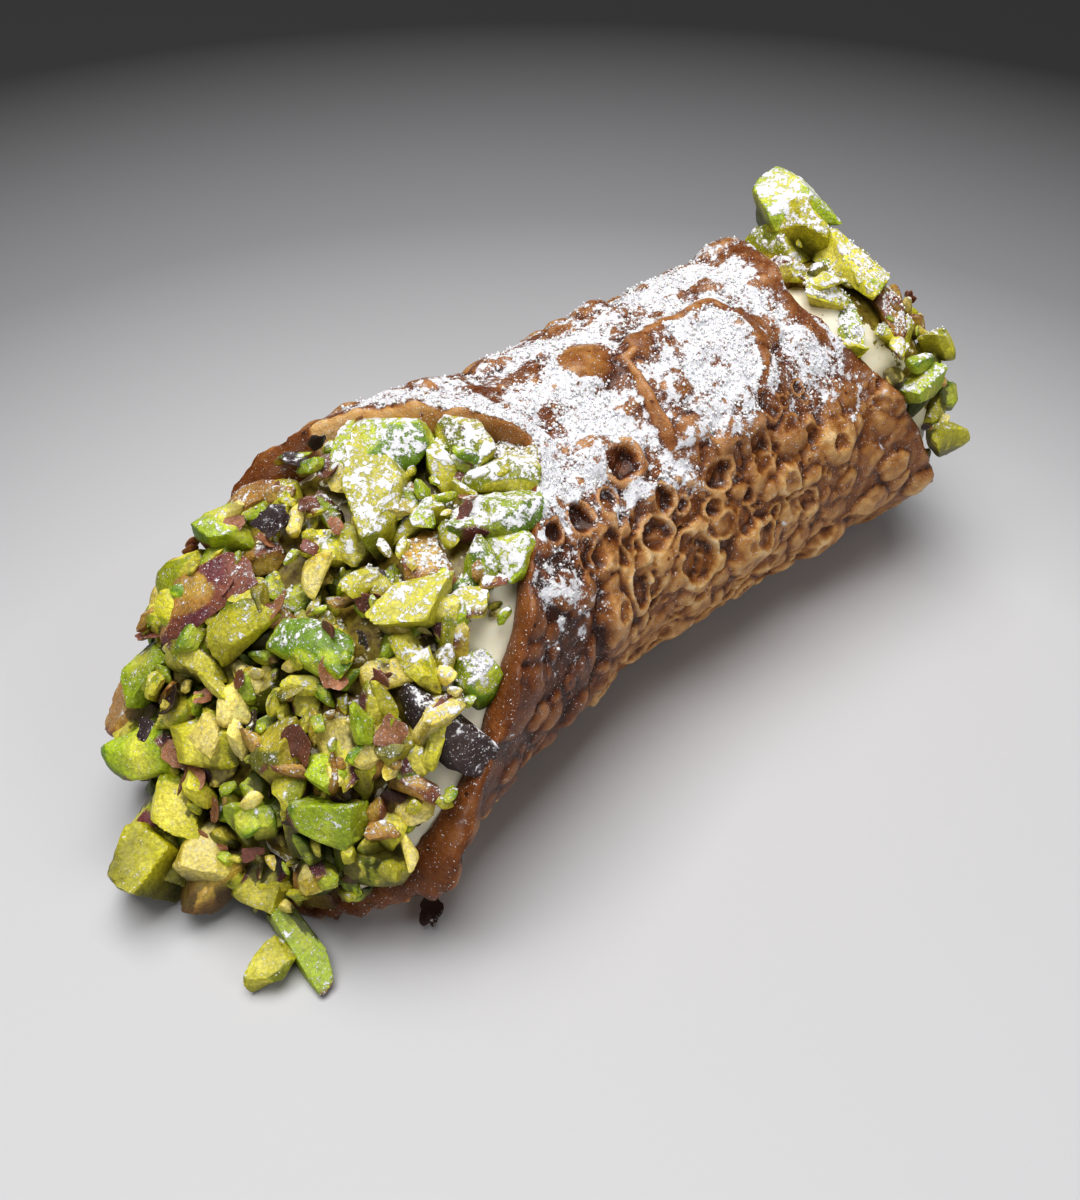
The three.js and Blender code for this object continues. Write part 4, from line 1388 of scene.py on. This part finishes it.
def nut_material():
    """Pistachio flesh and skin from the tint attribute, with fine chop marks and sugar on top."""
    t = Tree("pistachio")
    fibre = t.remap(t.noise(0.35, 3.0, 0.6), 0.3, 0.7, 0.8, 1.3)
    flesh = t.add("ShaderNodeVectorMath", {"operation": "SCALE"}, {0: t.tint("tint"), "Scale": fibre})
    mask = sugar_mask(t, t.attribute("sugar"), NUT_ISLANDS)
    colour = t.mix(mask, flesh.outputs["Vector"], SUGAR_WHITE)
    rough = t.math("MULTIPLY_ADD", mask, SUGAR_ROUGHNESS - NUT_ROUGHNESS, NUT_ROUGHNESS)
    chop = t.bump(t.noise(0.5, 4.0, 0.65), 0.22, 0.8)
    grain = t.bump(t.noise(0.15, 2.0, 0.7), 0.07, 0.5, chop)
    dusted = t.bump(mask, 0.12, 0.8, grain)
    return t.finish(
        {
            "Base Color": colour,
            "Roughness": rough,
            "Normal": dusted,
            "Subsurface Weight": 0.1,
            "Subsurface Radius": (1.0, 0.9, 0.3),
            "Subsurface Scale": 0.0008,
            "Coat Weight": 0.12,
            "Coat Roughness": 0.25,
        }
    )


nut_finish = nut_material()

# %% [markdown]
# The nuts are joined into a few pieces, so that no piece passes 200,000 triangles: those placed one by
# one, the other large ones, the small ones and the crumbs. Cut edges stay sharp.

# %% The nuts as pieces
NUT_EDGE = 24.0


def copies(points, faces):
    """Faces of many copies of one mesh, numbered on."""
    offsets = np.arange(len(points))[:, None, None] * points.shape[1]
    return (faces[None] + offsets).reshape(-1, faces.shape[1])


def nut_piece(name, lot):
    """A piece of all the nuts of a lot, sharp where its faces turn by more than NUT_EDGE degrees."""
    return make_piece(
        name,
        lot["points"],
        [copies(lot["points"], lot["faces"])],
        nut_finish,
        {"sugar": lot["sugar"].ravel(), "tint": lot["tint"].reshape(-1, 4)},
        NUT_EDGE,
    )


nut_piece("picked_nuts", picked)
nut_piece("large_nuts", large)
nut_piece("small_nuts", small)
nut_piece("nut_crumbs", crumbs)

# %% [markdown]
# Papery flakes of skin lie among the nuts, brown, pinkish or nearly black. A flake is a very thin nut
# that is bent like a potato crisp and has a ragged edge. The last one, nearly black, lies on the floor
# outside the tube, under the near lip, so it is the only one that isn't kept inside the dough.

# %% Flakes of skin
FLAKE_THICKNESS = 0.18
FLAKE_COLOURS = [(156, 106, 76), (112, 68, 50), (52, 36, 36), (124, 76, 64), (140, 96, 66)]
FLAKE_SUGAR = 0.5
DARK_FLAKE = 2
FLAT = np.array([1, 1, 0])
UNDER_LIP_PLACE = [-38.0, -20.8, 0.9]
UNDER_LIP_HEADING = 35.0
UNDER_LIP_SIZE = [2.4, 1.4, 0.2]
flake_groups = [
    (extra(nut_rng, NEAR, 50, (1.1, 2.5), (1.8, 3.6), (0.0, 0.88)), ["s"] * 50),
    (extra(nut_rng, FAR, 9, (1.1, 2.1), (1.8, 3.0), (0.0, 0.85)), ["s"] * 9),
    ((np.array([UNDER_LIP_PLACE]), turn_about(2, UNDER_LIP_HEADING), np.array([UNDER_LIP_SIZE])), ["s"]),
]


def make_flakes(rng, groups, subdivisions):
    """Thin nuts lifted by a curve: z grows by the square of the place along and across, with ripples."""
    directions, faces = ball_directions(subdivisions)
    places, turned, halves = (np.concatenate([group[0][part] for group in groups]) for part in range(3))
    shapes = np.repeat(directions[None], len(places), axis=0)
    around = unit(shapes * FLAT + 1e-6) + places[:, None, :]
    ragged = 0.85 + 0.35 * noise(around, 0.8, 93) + 0.18 * noise(around, 0.3, 95)
    flat = shapes * halves[:, None, :] * FLAT * ragged[..., None]
    curl = rng.uniform(0.12, 0.4, (len(places), 1))
    bend = curl * (0.25 * flat[..., 0] ** 2 + flat[..., 1] ** 2)
    flat[..., 2] = shapes[..., 2] * FLAKE_THICKNESS + bend
    flat[..., 2] += 0.3 * noise(flat * FLAT + places[:, None, :], 1.4, 91)
    points = np.einsum("nij,ndj->ndi", turned, flat) + places[:, None, :]
    points[:-1] = keep_inside(points[:-1])
    points[-1, :, 2] = np.maximum(points[-1, :, 2], FLOOR_CLEARANCE)
    colour_of = rng.integers(0, len(FLAKE_COLOURS), len(places))
    colour_of[-1] = DARK_FLAKE
    tint = np.array([linear(*c) for c in FLAKE_COLOURS])[colour_of]
    tint = tint[:, None, :] * (1 + 0.3 * noise(points, 1.6, 92) + 0.1 * noise(points, 0.5, 94))[..., None]
    tint[..., 3] = 1.0
    return {"points": points, "faces": faces, "tint": np.clip(tint, 0, 1)}


flakes = make_flakes(nut_rng, flake_groups, 3)
flakes["sugar"] = FLAKE_SUGAR * fell_on(flakes, sky)
nut_piece("skin_flakes", flakes)

# %% [markdown]
# Loose grains of sugar stand on the dusted places and catch the light. Each is a tiny eight-sided lump.
# Points are drawn from the dough and the nuts with a chance that grows with the sugar that lies there.

# %% Sugar grains
GRAINS_DOUGH = 6500
GRAINS_NUTS = 3200
GRAIN_SIZE = (0.08, 0.26)
GRAIN_SCATTER = 0.12
LEAST_SUGAR = 0.2
OCTAHEDRON = np.array([[1, 0, 0], [-1, 0, 0], [0, 1, 0], [0, -1, 0], [0, 0, 1], [0, 0, -1]], float)
OCTAHEDRON_FACES = np.array(
    [[0, 2, 4], [2, 1, 4], [1, 3, 4], [3, 0, 4], [2, 0, 5], [1, 2, 5], [3, 1, 5], [0, 3, 5]]
)
GRAIN_CLEARANCE = 0.02


def grain_points(rng, points, amount, count):
    """Lumps on drawn points: the chance is the square of the sugar there over LEAST_SUGAR."""
    points = points.reshape(-1, 3)
    chance = np.clip(amount.ravel() - LEAST_SUGAR, 0, 1) ** 2
    drawn = rng.choice(len(points), count, p=chance / chance.sum())
    centre = points[drawn] + rng.normal(0, GRAIN_SCATTER, (count, 3))
    low, high = GRAIN_SIZE
    size = (low + (high - low) * rng.random(count) ** 2)[:, None, None]
    stretch = rng.uniform(0.7, 1.3, (count, 1, 3))
    return centre[:, None, :] + OCTAHEDRON * size * stretch


def sugar_material():
    """Sugar on its own: white, matt, a little see-through."""
    t = Tree("icing_sugar")
    colour = t.ramp(t.noise(0.6), [(0.3, linear(238, 235, 232)), (0.7, SUGAR_WHITE)])
    return t.finish(
        {
            "Base Color": colour,
            "Roughness": 0.85,
            "Subsurface Weight": 0.1,
            "Subsurface Scale": 0.0004,
        }
    )


GRAIN_SEED = 5
grain_rng = np.random.default_rng(GRAIN_SEED)
grains = np.concatenate(
    [
        grain_points(grain_rng, outer, sugar, GRAINS_DOUGH),
        grain_points(grain_rng, large["points"], large["sugar"], GRAINS_NUTS),
    ]
)
grains[..., 2] = np.maximum(grains[..., 2], GRAIN_CLEARANCE)
make_piece("sugar_grains", grains, [copies(grains, OCTAHEDRON_FACES)], sugar_material())

# %% [markdown]
# The cannolo lies on a plain pale surface, whose colour holds a painted pool of light that fades around it.

# %% The floor
FLOOR_SIZE = 3.0
PAINTED_POOL_CENTRE = (-0.025, -0.025, 0.0)
PAINTED_POOL_REACH = 0.3


def floor_material():
    """A satin pale surface with a painted pool of light: darker with distance from the pool's middle."""
    t = Tree("pale_surface")
    away = t.add("ShaderNodeVectorMath", {"operation": "DISTANCE"}, {0: t.place, 1: PAINTED_POOL_CENTRE})
    share = t.math("DIVIDE", away.outputs["Value"], PAINTED_POOL_REACH)
    pale, grey, dark = linear(186, 186, 189), linear(126, 126, 129), linear(40, 39, 40)
    # Painted light: pale in the middle of the pool, then grey and dark further out.
    colour = t.ramp(share, [(0.0, pale), (0.24, pale), (0.46, grey), (0.76, dark)])
    fine = t.bump(t.noise(0.5, 2.0), 0.02, 0.3)
    return t.finish({"Base Color": colour, "Roughness": 0.6, "Normal": fine})


floor_mesh = bpy.data.meshes.new("floor")
half = FLOOR_SIZE / 2
floor_corners = [(-half, -half, 0), (half, -half, 0), (half, half, 0), (-half, half, 0)]
floor_mesh.from_pydata(floor_corners, [], [(0, 1, 2, 3)])
floor_mesh.materials.append(floor_material())
floor = bpy.data.objects.new("floor", floor_mesh)
bpy.context.scene.collection.objects.link(floor)

# %% [markdown]
# The main light is large and soft, nearly overhead and a little behind, so that the shadow stays close
# and falls towards the camera's right. Two weak ones stand low, beside the tube and before the near
# mouth, and open up what faces them. The view's contrast is raised a little, as a phone does.

# %% The lights
def area_light(name, place, target, size, power, colour=(1.0, 1.0, 1.0)):
    """A square light of a size in metres, facing a target: its -Z axis is turned along the way there."""
    data = bpy.data.lights.new(name, "AREA")
    data.size = size
    data.energy = power
    data.color = colour
    light = bpy.data.objects.new(name, data)
    bpy.context.scene.collection.objects.link(light)
    away = np.array(place) - np.array(target)
    light.location = place
    tilt = math.acos(away[2] / np.linalg.norm(away))
    light.rotation_euler = (tilt, 0.0, math.atan2(away[1], away[0]) + math.pi / 2)


WARM_WHITE = (1.0, 0.99, 0.97)
WORLD_STRENGTH = 0.06
area_light("key", (-0.03, 0.12, 0.93), (0.0, 0.0, 0.01), 0.8, 11.0, WARM_WHITE)
area_light("side", (0.1, -0.95, 0.5), (-0.02, -0.02, 0.02), 0.6, 2.6)
area_light("left", (-0.9, -0.25, 0.35), (-0.04, -0.01, 0.02), 0.4, 1.2)
world = bpy.data.worlds.new("studio")
world.use_nodes = True
background = world.node_tree.nodes["Background"]
background.inputs["Color"].default_value = (1.0, 1.0, 1.0, 1.0)
background.inputs["Strength"].default_value = WORLD_STRENGTH
bpy.context.scene.world = world
bpy.context.scene.view_settings.view_transform = "Standard"
bpy.context.scene.view_settings.look = "Medium High Contrast"
